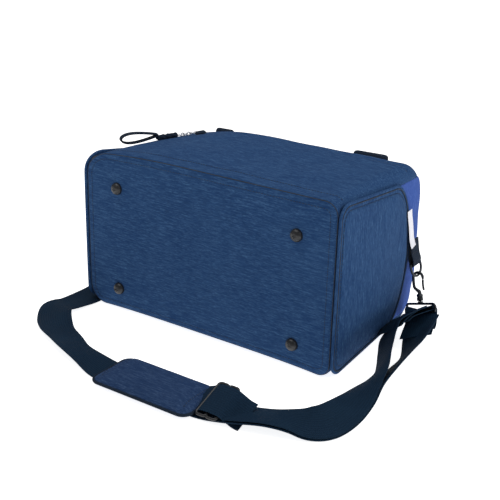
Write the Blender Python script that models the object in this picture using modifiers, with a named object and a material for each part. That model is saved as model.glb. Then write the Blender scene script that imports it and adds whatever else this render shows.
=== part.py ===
"""Soft pet carrier bag, lying on its back side panel.

+X is the bag's long axis, -Y is where its base faces, +Y is where its roof faces and +Z is up.
Heights along the bag, from the base towards the roof, are called rise and start at BASE_Y.
All lengths are metres.
"""

import math

import bmesh
import bpy
from mathutils import Matrix, Vector

# Driving dimensions
LENGTH = 0.420            # base panel, end to end
DEPTH = 0.246             # front side to back side, which is the height while it lies
HEIGHT = 0.250            # base to roof
EDGE_R = 0.020            # rounding of the upright edges
SLUMP_R = 0.030           # the same at the base's lower left, where the soft corner lifts off the floor
SHELL = 0.003             # foam backed fabric
END_SHELL = 0.005         # padded end panels
END_BASE_IN = 0.002       # how far an end panel stops short of the base
END_SIDE_IN = 0.006       # and of the front and back sides
END_ARCH = 0.055          # height of its arched roof edge
END_ARCH_IN = 0.011       # how much narrower the arch is than the panel, each side
END_CORNER = 0.018
GAP = 0.0003              # clearance between touching pieces
RIM_GAP = 0.0009          # clearance to the leaning rim of the roof opening
SHOULDER_RISE = 0.200     # where the roof starts to round over
SHOULDER_IN = 0.045       # how far the long shoulders round in, and the roof's border all round
SHOULDER_END_IN = 0.015   # how far the end gussets round in
OPEN_R = 0.004            # corners of the roof opening
GUSSET_RISE = 0.150       # where the end gussets start, behind the end panels
FRONT_STRIP = 0.036       # flat roof strip between the front shoulder and the zip
ZIP_R = 0.020             # corners of the zip, on its outer edge
FOOT_R = 0.009
FOOT_H = 0.008
FOOT_X = 0.1517
FOOT_Z = (0.0355, 0.1912)
STUD_R = 0.0022
BOARD = 0.003
WASHER = 0.0012
MAT = 0.010
HANDLE_W = 0.025
HANDLE_T = 0.004
LUG_R = 0.006             # sewn lug that a handle swings on
LUG_INNER = 0.040         # how far a lug reaches past its arm, towards the middle and outwards
LUG_OUTER = 0.016
HANDLE_SPAN = 0.137       # half the distance between a handle's two arms
FRONT_DROP = 0.050        # hinge line to the far edge of the front handle
BACK_DROP = 0.0702
LEAN = math.radians(1.5)  # the front handle's hinge line follows the drooping edge
LEAN_LOW = 0.0035         # how far its middle hangs below the undrooped edge
STRAP_W = 0.050
STRAP_T = 0.0018
WIRE_R = 0.0018           # D-rings and rectangular rings
HOOK_R = 0.0021           # hook wire
REACH_Y = 0.3095          # rise of the back handle's far edge
SAG_START = 0.030         # the soft bag droops at its upper left, from here to the left end
SAG_BASE = 0.010          # droop of the upper left edge at the base
SAG_ROOF = 0.022          # what the droop adds by the roof
SAG_FLOOR = 0.206         # height below which nothing droops, at the base
SAG_DEEPER = 0.036        # how much lower the droop reaches from a rise of 0.1 m on
BASE_Y = -(REACH_Y - FOOT_H) / 2

MID_Z = DEPTH / 2
HALF = LENGTH / 2
OPEN_X = HALF - SHOULDER_IN
OPEN_LOW = SHOULDER_IN
OPEN_HIGH = DEPTH - SHOULDER_IN

COLOURS = {
    "heather": ((0.030, 0.075, 0.190, 1.0), 0.85, 0.0),
    "royal": ((0.055, 0.110, 0.400, 1.0), 0.80, 0.0),
    "webbing": ((0.008, 0.025, 0.055, 1.0), 0.75, 0.0),
    "strap": ((0.012, 0.040, 0.075, 1.0), 0.75, 0.0),
    "mesh": ((0.010, 0.012, 0.016, 1.0), 0.60, 0.0),
    "board": ((0.030, 0.030, 0.032, 1.0), 0.70, 0.0),
    "fleece": ((0.420, 0.430, 0.450, 1.0), 0.95, 0.0),
    "plastic": ((0.010, 0.011, 0.013, 1.0), 0.35, 0.0),
    "steel": ((0.550, 0.560, 0.580, 1.0), 0.28, 1.0),
    "label": ((0.850, 0.850, 0.880, 1.0), 0.60, 0.0),
}


def clear_scene():
    for old in list(bpy.data.objects):
        bpy.data.objects.remove(old)


def collection(name):
    made = bpy.data.collections.new(name)
    bpy.context.scene.collection.children.link(made)
    return made


def material(kind, name):
    colour, roughness, metallic = COLOURS[kind]
    made = bpy.data.materials.new(f"{name}_{kind}")
    made.use_nodes = True
    shader = made.node_tree.nodes["Principled BSDF"]
    shader.inputs["Base Color"].default_value = colour
    shader.inputs["Roughness"].default_value = roughness
    shader.inputs["Metallic"].default_value = metallic
    return made


def keep(name, data, kind, smooth=False):
    """A sub-part of the bag from its mesh or curve data."""
    made = bpy.data.objects.new(name, data)
    BAG.objects.link(made)
    data.materials.append(material(kind, name))
    if smooth and isinstance(data, bpy.types.Mesh):
        data.shade_smooth()
        data.set_sharp_from_angle(angle=math.radians(35))
    return made


def cutter(name, data):
    made = bpy.data.objects.new(name, data)
    CUTTERS.objects.link(made)
    made.hide_render = True
    made.display_type = "WIRE"
    return made


def as_cutter(made):
    BAG.objects.unlink(made)
    CUTTERS.objects.link(made)
    made.hide_render = True
    made.display_type = "WIRE"


def mesh_from(bm, name):
    bmesh.ops.recalc_face_normals(bm, faces=bm.faces)
    mesh = bpy.data.meshes.new(name)
    bm.to_mesh(mesh)
    bm.free()
    return mesh


# ---- outlines ----

def arc(cx, cy, rx, ry, start, end, steps):
    """Points on an ellipse arc, angles in degrees."""
    angles = [math.radians(start + (end - start) * i / steps) for i in range(steps + 1)]
    return [(cx + rx * math.cos(a), cy + ry * math.sin(a)) for a in angles]


def rounded(x0, y0, x1, y1, r, steps=5):
    """A rectangle with round corners, anticlockwise."""
    return (arc(x1 - r, y1 - r, r, r, 0, 90, steps) + arc(x0 + r, y1 - r, r, r, 90, 180, steps)
            + arc(x0 + r, y0 + r, r, r, 180, 270, steps) + arc(x1 - r, y0 + r, r, r, 270, 360, steps))


AXIS_TURN = {"X": (math.pi / 2, 0, math.pi / 2), "Y": (math.pi / 2, 0, 0), "Z": (0, 0, 0)}


def plate(name, outlines, axis, low, high, kind):
    """A flat piece: closed outlines, the first one outside and the others holes, thick along one axis.

    Outlines are (y, z) for axis X, (x, z) for axis Y and (x, y) for axis Z.
    """
    data = bpy.data.curves.new(name, "CURVE")
    data.dimensions = "2D"
    data.fill_mode = "BOTH"
    data.extrude = (high - low) / 2
    for outline in outlines:
        spline = data.splines.new("POLY")
        spline.points.add(len(outline) - 1)
        for point, (u, v) in zip(spline.points, outline):
            point.co = (u, v, 0, 1)
        spline.use_cyclic_u = True
    made = keep(name, data, kind)
    made.rotation_euler = AXIS_TURN[axis]
    made.location["XYZ".index(axis)] = (low + high) / 2
    return made


def prism(name, outline, axis, low, high):
    """A closed cutter with the same outline rules as plate."""
    bm = bmesh.new()
    to_point = {"X": lambda u, v, w: (w, u, v), "Y": lambda u, v, w: (u, w, v),
                "Z": lambda u, v, w: (u, v, w)}[axis]
    face = bm.faces.new([bm.verts.new(to_point(u, v, low)) for u, v in outline])
    side = bmesh.ops.extrude_face_region(bm, geom=[face])["geom"]
    step = Vector(to_point(0, 0, high - low))
    bmesh.ops.translate(bm, vec=step, verts=[g for g in side if isinstance(g, bmesh.types.BMVert)])
    return cutter(name, mesh_from(bm, name))


def tube(name, points, radius, kind, cyclic=False, resolution=2):
    """A round wire or rod along points."""
    data = bpy.data.curves.new(name, "CURVE")
    data.dimensions = "3D"
    data.bevel_depth = radius
    data.bevel_resolution = resolution
    data.use_fill_caps = not cyclic
    spline = data.splines.new("POLY")
    spline.points.add(len(points) - 1)
    for point, co in zip(spline.points, points):
        point.co = (*co, 1)
    spline.use_cyclic_u = cyclic
    spline.use_smooth = True
    return keep(name, data, kind)


def turned(name, profile, kind, steps=20):
    """A solid turned about its own Z from (radius, height) points, listed top to bottom."""
    bm = bmesh.new()
    verts = [bm.verts.new((r, 0, z)) for r, z in profile]
    for a, b in zip(verts, verts[1:]):
        bm.edges.new((a, b))
    mesh = bpy.data.meshes.new(name)
    bm.to_mesh(mesh)
    bm.free()
    made = keep(name, mesh, kind)
    screw = made.modifiers.new("Turn", "SCREW")
    screw.steps = steps
    screw.render_steps = steps
    screw.use_merge_vertices = True
    screw.merge_threshold = 0.00005
    screw.use_smooth_shade = False
    return made


def block(name, low, high, kind, bevel=0.0):
    """A box between two corners, with rounded edges."""
    bm = bmesh.new()
    bmesh.ops.create_cube(bm, size=1)
    size = Vector(high) - Vector(low)
    bmesh.ops.scale(bm, vec=size, verts=bm.verts)
    made = keep(name, mesh_from(bm, name), kind)
    made.location = (Vector(high) + Vector(low)) / 2
    if bevel:
        rounding = made.modifiers.new("Rounding", "BEVEL")
        rounding.width = bevel
        rounding.segments = 2
    return made


def loft(name, rings, kind, smooth_sides=False):
    """A closed piece through rings of the same number of points, with both ends filled."""
    bm = bmesh.new()
    rows = [[bm.verts.new(p) for p in ring] for ring in rings]
    for one, two in zip(rows, rows[1:]):
        for i in range(len(one)):
            j = (i + 1) % len(one)
            bm.faces.new((one[i], one[j], two[j], two[i]))
    bm.faces.new(rows[0])
    bm.faces.new(rows[-1])
    return keep(name, mesh_from(bm, name), kind, smooth_sides)


# ---- the droop of the soft upper left corner ----

def droop(x, rise):
    """How far the upper surface hangs below its full height at one place."""
    left = min(max((-x - SAG_START) / (HALF - SAG_START), 0.0), 1.03)
    return (SAG_BASE + SAG_ROOF * rise / SHOULDER_RISE) * left ** 2.2


def drooped(point):
    x, y, z = point
    floor = SAG_FLOOR - SAG_DEEPER * min((y - BASE_Y) / 0.1, 1.0)
    share = min(max((z - floor) / (DEPTH - floor), 0.0), 1.0) ** 1.5
    return (x, y, z - droop(x, y - BASE_Y) * share)


def settle(made):
    """Replaces a straight piece by its own evaluated mesh with the droop in it."""
    bpy.context.view_layer.update()
    graph = bpy.context.evaluated_depsgraph_get()
    mesh = bpy.data.meshes.new_from_object(made.evaluated_get(graph))
    mesh.transform(made.matrix_world)
    bm = bmesh.new()
    bm.from_mesh(mesh)
    bmesh.ops.remove_doubles(bm, verts=bm.verts, dist=0.00001)
    for vert in bm.verts:
        vert.co = drooped(vert.co)
    bm.to_mesh(mesh)
    bm.free()
    name = made.name
    bpy.data.objects.remove(made)
    settled = bpy.data.objects.new(name, mesh)
    BAG.objects.link(settled)
    return settled


# ---- smooth routes and flat bands ----

def smooth(points, per_span):
    """A Catmull-Rom curve through the points."""
    rows = [Vector(p) for p in points]
    rows = [rows[0] * 2 - rows[1]] + rows + [rows[-1] * 2 - rows[-2]]
    made = []
    for a, b, c, d in zip(rows, rows[1:], rows[2:], rows[3:]):
        for i in range(per_span):
            t = i / per_span
            made.append(0.5 * ((2 * b) + (c - a) * t + (2 * a - 5 * b + 4 * c - d) * t ** 2
                               + (3 * b - a - 3 * c + d) * t ** 3))
    made.append(rows[-2])
    return made


def band(name, stations, width, thickness, kind):
    """A closed flat band: each station is its centre and the directions across it and out of it."""
    bm = bmesh.new()
    rings = []
    for centre, across, out in stations:
        corners = [(1, 1), (-1, 1), (-1, -1), (1, -1)]
        rings.append([bm.verts.new(centre + across * (sx * width / 2) + out * (sy * thickness / 2))
                      for sx, sy in corners])
    for one, two in zip(rings, rings[1:]):
        for i in range(4):
            j = (i + 1) % 4
            bm.faces.new((one[i], one[j], two[j], two[i]))
    bm.faces.new(rings[0])
    bm.faces.new(rings[-1])
    return keep(name, mesh_from(bm, name), kind)


def lying_stations(route, per_span):
    """Stations along a lying strap: route points are (x, rise, z, tilt in degrees)."""
    rows = smooth([(x, rise, z, tilt) for x, rise, z, tilt in route], per_span)
    centres = [Vector((r[0], BASE_Y + r[1], r[2])) for r in rows]
    made = []
    for i, centre in enumerate(centres):
        ahead = centres[min(i + 1, len(centres) - 1)] - centres[max(i - 1, 0)]
        ahead.normalize()
        side = ahead.cross(Vector((0, 0, 1))).normalized()
        over = side.cross(ahead)
        tilt = math.radians(rows[i][3])
        across = side * math.cos(tilt) + over * math.sin(tilt)
        made.append((centre, across, ahead.cross(across)))
    return made


# ---- the bag's shell ----

def spread(start, end, steps):
    """Points between two ends, without the ends."""
    (x0, y0), (x1, y1) = start, end
    return [(x0 + (x1 - x0) * i / steps, y0 + (y1 - y0) * i / steps) for i in range(1, steps)]


def c_profile(flip, steps, left_r):
    """The front or back side seen along the bag: flat, with both ends rounded to the end panels."""
    outer = arc(HALF - EDGE_R, DEPTH - EDGE_R, EDGE_R, EDGE_R, 0, 90, 5)
    turn = arc(-HALF + left_r, DEPTH - left_r, left_r, left_r, 90, 180, 5)
    outer += spread(outer[-1], turn[0], steps) + turn
    r = left_r - SHELL
    inner = arc(-HALF + left_r, DEPTH - left_r, r, r, 180, 90, 5)
    r = EDGE_R - SHELL
    turn = arc(HALF - EDGE_R, DEPTH - EDGE_R, r, r, 90, 0, 5)
    inner += spread(inner[-1], turn[0], steps) + turn
    return [(x, DEPTH - z if flip else z) for x, z in outer + inner]


def panel_outline(half, low, high, r, steps=10):
    """The base's outline with extra points along its upper edge, so that it can droop."""
    right = arc(half - r, high - r, r, r, 0, 90, 5)
    left = arc(-half + r, high - r, r, r, 90, 180, 5)
    lower = (arc(-half + SLUMP_R, low + SLUMP_R, SLUMP_R, SLUMP_R, 180, 270, 5)
             + arc(half - r, low + r, r, r, 270, 360, 5))
    return right + spread(right[-1], left[0], steps) + left + lower


def base_group():
    """Base skin, stiff board, studded feet with their washers, and the loose mat."""
    holes = [[(x + u, z + v) for u, v in arc(0, 0, STUD_R + GAP, STUD_R + GAP, 0, 330, 11)]
             for x in (-FOOT_X, FOOT_X) for z in FOOT_Z]
    outline = panel_outline(HALF, 0, DEPTH, EDGE_R)
    settle(plate("base_panel", [outline] + holes, "Y", BASE_Y, BASE_Y + SHELL, "heather"))
    board_low = BASE_Y + SHELL + GAP
    inset = SHELL + 0.002
    board_line = panel_outline(HALF - inset, inset, DEPTH - inset - 0.001, EDGE_R)
    settle(plate("base_board", [board_line] + holes, "Y", board_low, board_low + BOARD, "board"))
    stud_end = SHELL + GAP + BOARD + GAP + WASHER
    for number, (x, z) in enumerate([(x, z) for z in FOOT_Z for x in (-FOOT_X, FOOT_X)], start=1):
        dome = [(0, FOOT_H)] + arc(0, GAP, FOOT_R, FOOT_H - GAP, 75, 15, 4) + [(FOOT_R, GAP)]
        stud = [(STUD_R, GAP), (STUD_R, -stud_end), (0, -stud_end)]
        foot = turned(f"foot_{number}", dome + stud, "plastic")
        foot.rotation_euler = (math.pi / 2, 0, 0)
        foot.location = (x, BASE_Y, z)
        ring = [(STUD_R + GAP, WASHER), (0.0070, WASHER), (0.0070, 0), (STUD_R + GAP, 0),
                (STUD_R + GAP, WASHER)]
        washer = turned(f"foot_washer_{number}", ring, "steel", 16)
        washer.rotation_euler = (math.pi / 2, 0, 0)
        washer.location = (x, BASE_Y + stud_end, z)
    mat_low = BASE_Y + stud_end + GAP
    block("pet_mat", (-0.190, mat_low, 0.016), (0.190, mat_low + MAT, DEPTH - 0.016), "fleece", 0.004)


def side_panels():
    low = BASE_Y + SHELL + GAP
    high = BASE_Y + SHOULDER_RISE - GAP
    rows = [low + (high - low) * i / 6 for i in range(7)]
    line = c_profile(False, 12, EDGE_R)
    loft("front_panel", [[drooped((x, y, z)) for x, z in line] for y in rows], "heather")
    back = [(low, SLUMP_R), (BASE_Y + GUSSET_RISE - 0.002, EDGE_R), (high, EDGE_R)]
    loft("back_panel", [[(x, y, z) for x, z in c_profile(True, 1, r)] for y, r in back], "heather")


def end_panels():
    """Padded end panels: rounded corners by the base, an arched edge by the roof."""
    base = BASE_Y + END_BASE_IN
    half = MID_Z - END_SIDE_IN
    spring = GUSSET_RISE + BASE_Y
    r = END_CORNER
    arch = arc(spring, MID_Z, END_ARCH, half - END_ARCH_IN, -90, 90, 18)
    foot_corners = arc(base + r, MID_Z + half - r, r, r, 90, 180, 4)
    foot_corners += arc(base + r, MID_Z - half + r, r, r, 180, 270, 4)
    outline = arch + foot_corners
    for side, word in ((1, "right"), (-1, "left")):
        low, high = sorted((side * (HALF + GAP), side * (HALF + GAP + END_SHELL)))
        made = plate(f"{word}_end_panel", [outline], "X", low, high, "heather")
        if side < 0:
            settle(made)


def shoulder_ring():
    """The bag's upper edge all round: straight for a stretch, then rounded in to the roof opening."""
    bm = bmesh.new()
    levels = [(GUSSET_RISE, 0.0, 0.0), (SHOULDER_RISE, 0.0, 0.0)]
    for i in range(1, 7):
        share = 1 - math.cos(math.radians(15 * i))
        rise = SHOULDER_RISE + (HEIGHT - SHOULDER_RISE) * math.sin(math.radians(15 * i))
        levels.append((rise, SHOULDER_END_IN * share, SHOULDER_IN * share))
    levels.append((HEIGHT, SHOULDER_IN, SHOULDER_IN + 0.0005))
    rings = []
    for rise, inset_x, inset_z in levels:
        share = inset_z / SHOULDER_IN
        corner = EDGE_R * (1 - share) + OPEN_R * share
        left = arc(-HALF + inset_x + corner, DEPTH - inset_z - corner, corner, corner, 90, 180, 5)
        left += arc(-HALF + inset_x + corner, inset_z + corner, corner, corner, 180, 270, 5)
        right = arc(HALF - inset_x - corner, inset_z + corner, corner, corner, 270, 360, 5)
        right += arc(HALF - inset_x - corner, DEPTH - inset_z - corner, corner, corner, 0, 90, 5)
        line = left + right + spread(right[-1], left[0], 12)
        rings.append([bm.verts.new((x, BASE_Y + rise, z)) for x, z in line])
    for one, two in zip(rings, rings[1:]):
        for i in range(len(one)):
            j = (i + 1) % len(one)
            bm.faces.new((one[i], two[i], two[j], one[j]))
    return mesh_from(bm, "shoulder")


def shoulder_part(name, kind, mesh, keep_in):
    """One sewn section of the shoulder, cut from the ring along the mitred corners."""
    made = keep(name, mesh.copy(), kind)
    wall = made.modifiers.new("Wall", "SOLIDIFY")
    wall.thickness = SHELL
    wall.offset = -1
    cut = made.modifiers.new("Section", "BOOLEAN")
    cut.operation = "INTERSECT"
    cut.solver = "EXACT"
    cut.object = keep_in
    return made


def shoulders():
    mesh = shoulder_ring()
    out = 0.012
    top = BASE_Y + HEIGHT + 0.01
    mitre_x = OPEN_X - 0.002
    high = [(HALF, DEPTH - EDGE_R), (HALF + out, DEPTH - EDGE_R), (HALF + out, DEPTH + out),
            (-HALF - out, DEPTH + out), (-HALF - out, DEPTH - EDGE_R), (-HALF, DEPTH - EDGE_R),
            (-mitre_x, OPEN_HIGH - 0.002), (mitre_x, OPEN_HIGH - 0.002)]
    low = [(x, DEPTH - z) for x, z in high]
    edge = DEPTH - EDGE_R - GAP * 1.5
    end = [(HALF, edge), (mitre_x, OPEN_HIGH - 0.002 - GAP * 1.5), (mitre_x, OPEN_LOW + 0.002 + GAP * 1.5),
           (HALF, DEPTH - edge), (HALF + out, DEPTH - edge), (HALF + out, edge)]
    start = BASE_Y + SHOULDER_RISE
    settle(shoulder_part("front_shoulder", "heather", mesh, prism("cut_front", high, "Y", start, top)))
    shoulder_part("back_shoulder", "heather", mesh, prism("cut_back", low, "Y", start, top))
    gusset = BASE_Y + GUSSET_RISE - 0.001
    shoulder_part("right_end_gusset", "royal", mesh, prism("cut_right", end, "Y", gusset, top))
    mirrored = [(-x, z) for x, z in end]
    settle(shoulder_part("left_end_gusset", "royal", mesh, prism("cut_left", mirrored, "Y", gusset, top)))


# ---- the roof: strip, zip, flap and mesh window ----

def roof():
    face = BASE_Y + HEIGHT - SHELL
    left, right = -OPEN_X + RIM_GAP, OPEN_X - RIM_GAP
    bottom, top = OPEN_LOW + OPEN_R + RIM_GAP, OPEN_HIGH - RIM_GAP
    strip_low = top - FRONT_STRIP
    corner = 0.024
    strip = [(left, strip_low), (right, strip_low)]
    strip += arc(right - corner, top - corner, corner, corner, 0, 90, 4)
    turn = arc(left + corner, top - corner, corner, corner, 90, 180, 4)
    strip += spread(strip[-1], turn[0], 12) + turn
    settle(plate("roof_strip", [strip], "Y", face + 0.0005, face + 0.0025, "heather"))
    zip_top = strip_low - GAP
    tape = 0.006
    hinge_z = bottom
    x_turn, z_turn = right - ZIP_R, zip_top - ZIP_R
    for name, inset in (("zip_tape_body", 0.0), ("zip_tape_flap", tape + GAP)):
        far, near = ZIP_R - inset, ZIP_R - inset - tape
        u_shape = [(x_turn + far, hinge_z)] + arc(x_turn, z_turn, far, far, 0, 90, 4)
        u_shape += arc(-x_turn, z_turn, far, far, 90, 180, 4)
        u_shape += [(-x_turn - far, hinge_z), (-x_turn - near, hinge_z)]
        u_shape += arc(-x_turn, z_turn, near, near, 180, 90, 4)
        u_shape += arc(x_turn, z_turn, near, near, 90, 0, 4) + [(x_turn + near, hinge_z)]
        made = plate(name, [u_shape], "Y", face + 0.0005, face + 0.0021, "webbing")
        if name == "zip_tape_flap":
            set_axis(made, (0, face + 0.0013, hinge_z))
    inset = 2 * (tape + GAP)
    x0, x1, z1 = left + inset, right - inset, zip_top - inset
    far = ZIP_R - inset
    outer = [(x0, hinge_z), (x1, hinge_z)] + arc(x_turn, z_turn, far, far, 0, 90, 4)
    outer += arc(-x_turn, z_turn, far, far, 90, 180, 4)
    border = 0.020
    window = rounded(x0 + border, hinge_z + border, x1 - border, z1 - border, 0.012, 4)
    flap = plate("roof_flap", [outer, window], "Y", face + 0.0005, face + 0.0025, "heather")
    set_axis(flap, (0, face + 0.0013, hinge_z))
    pane = rounded(x0 + border + GAP, hinge_z + border + GAP, x1 - border - GAP, z1 - border - GAP, 0.0117, 4)
    mesh = plate("roof_mesh", [pane], "Y", face + 0.0010, face + 0.0020, "mesh")
    set_axis(mesh, (0, face + 0.0013, hinge_z))
    zip_sliders(face, zip_top)


def set_axis(made, point):
    """Moves an object's origin onto its joint's axis and leaves its shape where it is."""
    turn = made.rotation_euler.to_matrix()
    old = Vector(made.location)
    shift = turn.inverted() @ (old - Vector(point))
    made.location = point
    if isinstance(made.data, bpy.types.Curve):
        for spline in made.data.splines:
            for p in spline.points:
                p.co = (*(Vector(p.co[:3]) + shift), 1)
    else:
        made.data.transform(Matrix.Translation(shift))


def zip_sliders(face, zip_top):
    """Two sliders that meet in the middle of the zip's long side, each with a hinged pull."""
    tape_face = face + 0.0021 + GAP
    z0, z1 = zip_top - 0.0062, zip_top + 0.0030
    for side, word in ((-1, "left"), (1, "right")):
        centre = side * 0.0065
        low, high = (centre - 0.0055, tape_face + 0.0004, z0), (centre + 0.0055, tape_face + 0.0036, z1)
        block(f"zip_slider_{word}", low, high, "steel", 0.0008)
        pull = rounded(-0.0005, -0.003, 0.024, 0.003, 0.0029, 3)
        pull = [(side * u, v) for u, v in pull]
        tab = plate(f"zip_pull_{word}", [pull], "Y", 0, 0.0012, "steel")
        tab.location = (centre, tape_face + 0.0036 + GAP + 0.0006, (z0 + z1) / 2)


# ---- carry handles ----

def front_drop(s):
    """Place on the front handle at distance s from its hinge: over the shoulder and down the roof."""
    points = smooth([(0.2438, 0.2360), (0.2496, 0.2290), (0.2546, 0.2180),
                     (0.2572, 0.2060), (0.2580, 0.1740)], 8)
    return along(points, s)


def back_drop(s):
    """Place on the back handle at distance s from its hinge: off the shoulder and out over the floor."""
    points = smooth([(0.2399, 0.0086), (0.2500, 0.0064), (0.2600, 0.0040),
                     (0.2750, 0.0027), (0.3150, 0.0024)], 8)
    return along(points, s)


def along(points, s):
    """Point and direction at distance s on a chain of points."""
    for a, b in zip(points, points[1:]):
        step = (b - a).length
        if s <= step or b is points[-1]:
            return a + (b - a) * (s / step), (b - a).normalized()
        s -= step


def handle(name, drop, length, lean):
    """A webbing handle: two arms and a crossing, in one flat band that follows the drop line."""
    start, corner = 0.0068, 0.026
    deep = length - HANDLE_W / 2
    flat = [(-HANDLE_SPAN, start), (-HANDLE_SPAN, deep - corner)]
    turn = arc(0, 0, corner, corner, 22.5, 67.5, 2)
    flat += [(-HANDLE_SPAN + corner - u, deep - corner + v) for u, v in turn]
    flat += [(-HANDLE_SPAN + corner, deep), (-0.075, deep), (-0.0355, deep)]
    flat += [(-x, s) for x, s in reversed(flat)]
    stations = []
    for i, (x, s) in enumerate(flat):
        before, after = flat[max(i - 1, 0)], flat[min(i + 1, len(flat) - 1)]
        dx, ds = after[0] - before[0], after[1] - before[1]
        size = math.hypot(dx, ds)
        spot, way = drop(s)
        down = Vector((0, way[0], way[1]))
        centre = Vector((x, BASE_Y + spot[0], spot[1]))
        ahead = Vector((1, 0, 0)) * (dx / size) + down * (ds / size)
        out = Vector((1, 0, 0)).cross(down)
        stations.append((centre, out.cross(ahead).normalized(), out))
    made = band(name, stations, HANDLE_W, HANDLE_T, "webbing")
    spot, _ = drop(0)
    set_axis(made, (0, BASE_Y + spot[0], spot[1]))
    made.matrix_world = lean @ Matrix.Translation((0, BASE_Y + spot[0], spot[1]))


def handles():
    """Both handles, the sewn lugs they swing on, and the padded wrap round the front one's crossing."""
    spot, _ = front_drop(0)
    hinge = Vector((0, BASE_Y + spot[0], spot[1]))
    lean = Matrix.Translation(hinge - Vector((0, 0, LEAN_LOW))) @ Matrix.Rotation(-LEAN, 4, "Y")
    lean = lean @ Matrix.Translation(-hinge)
    handle("front_handle", front_drop, FRONT_DROP, lean)
    handle("back_handle", back_drop, BACK_DROP, Matrix())
    for word, drop, tilt in (("front", front_drop, lean), ("back", back_drop, Matrix())):
        spot, _ = drop(0)
        for side, end in ((-1, "left"), (1, "right")):
            reach = sorted((side * -LUG_INNER, side * LUG_OUTER))
            lug = tube(f"{word}_handle_lug_{end}", [(x, 0, 0) for x in reach], LUG_R, "webbing", resolution=3)
            lug.matrix_world = tilt @ Matrix.Translation((side * HANDLE_SPAN, BASE_Y + spot[0], spot[1]))
    spot, way = front_drop(FRONT_DROP - HANDLE_W / 2)
    grip = block("handle_wrap", (-0.034, -0.0045, -0.0155), (0.034, 0.0045, 0.0155), "webbing", 0.0025)
    hollow = block("wrap_hollow", (-0.04, -0.0024, -0.0129), (0.04, 0.0024, 0.0129), "webbing")
    as_cutter(hollow)
    turn = Matrix.Rotation(math.atan2(way[0], -way[1]), 4, "X")
    for made in (grip, hollow):
        made.matrix_world = lean @ Matrix.Translation((0, BASE_Y + spot[0], spot[1])) @ turn
    cut = grip.modifiers.new("Channel", "BOOLEAN")
    cut.operation = "DIFFERENCE"
    cut.solver = "EXACT"
    cut.object = hollow


# ---- ends: D-ring tabs, D-rings, snap hooks and strap rings ----

TAB_X = HALF + GAP * 2 + END_SHELL
TAB_RISE = 0.2155
TAB_EYE_Z = 0.101
TAB_W = 0.025
RING_HALF = 0.0152
RING_DROP = 0.019
RING_TURN = math.radians(18)
HOOK_DOWN = Vector((0.30, -0.22, -0.93)).normalized()


def end_hardware(side, word):
    """Everything between the end panel and the strap; side is 1 at the right end and -1 at the left."""
    eye_n = 0.0066
    eye_r = 0.0043
    line = [(0, 0.136), (0.0032, 0.136), (0.0036, TAB_EYE_Z + 0.0100)]
    line += arc(eye_n, TAB_EYE_Z, eye_r, eye_r, 60, -170, 10) + [(0, TAB_EYE_Z + 0.0030)]
    line = [(side * (TAB_X + n), z) for n, z in line]
    hole = [(side * (TAB_X + n), z) for n, z in
            arc(eye_n, TAB_EYE_Z, WIRE_R + GAP, WIRE_R + GAP, 0, 330, 11)]
    low = BASE_Y + TAB_RISE - TAB_W / 2
    plate(f"{word}_ring_tab", [line, hole], "Y", low, low + TAB_W, "webbing")

    bar = Vector((side * (TAB_X + eye_n), BASE_Y + TAB_RISE, TAB_EYE_Z))
    shape = [(-RING_HALF, 0), (-RING_HALF / 2, 0), (0, 0), (RING_HALF / 2, 0), (RING_HALF, 0)]
    shape += arc(0, -0.006, RING_HALF, RING_DROP - 0.006, 0, -180, 10)
    out_x = math.sin(RING_TURN)
    points = [(side * -v * out_x, u, v * math.cos(RING_TURN)) for u, v in shape]
    ring = tube(f"{word}_d_ring", points, WIRE_R, "steel", cyclic=True)
    ring.location = bar

    pivot = bar + Vector((side * RING_DROP * out_x, 0, -RING_DROP * math.cos(RING_TURN)))
    down = Vector((side * HOOK_DOWN.x, HOOK_DOWN.y, HOOK_DOWN.z))
    bow_way = Vector((side, 0, 0)) - down * (side * down.x)
    bow_way.normalize()
    frame = hook_frame(pivot, down, bow_way)
    snap_hook(word, frame)
    strap_ring(word, frame, side)


def hook_frame(pivot, down, bow_way):
    """Local +Z runs up the hook, local +X across its bow, with the D-ring's wire at the origin."""
    up = -down
    across = up.cross(bow_way)
    turn = Matrix((bow_way, across, up)).transposed().to_4x4()
    return Matrix.Translation(pivot) @ turn


BOW = 0.0072
BOW_TOP = WIRE_R + GAP + HOOK_R
BARREL_TOP = -0.027
BARREL_R = 0.0046
BARREL_H = 0.010


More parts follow.
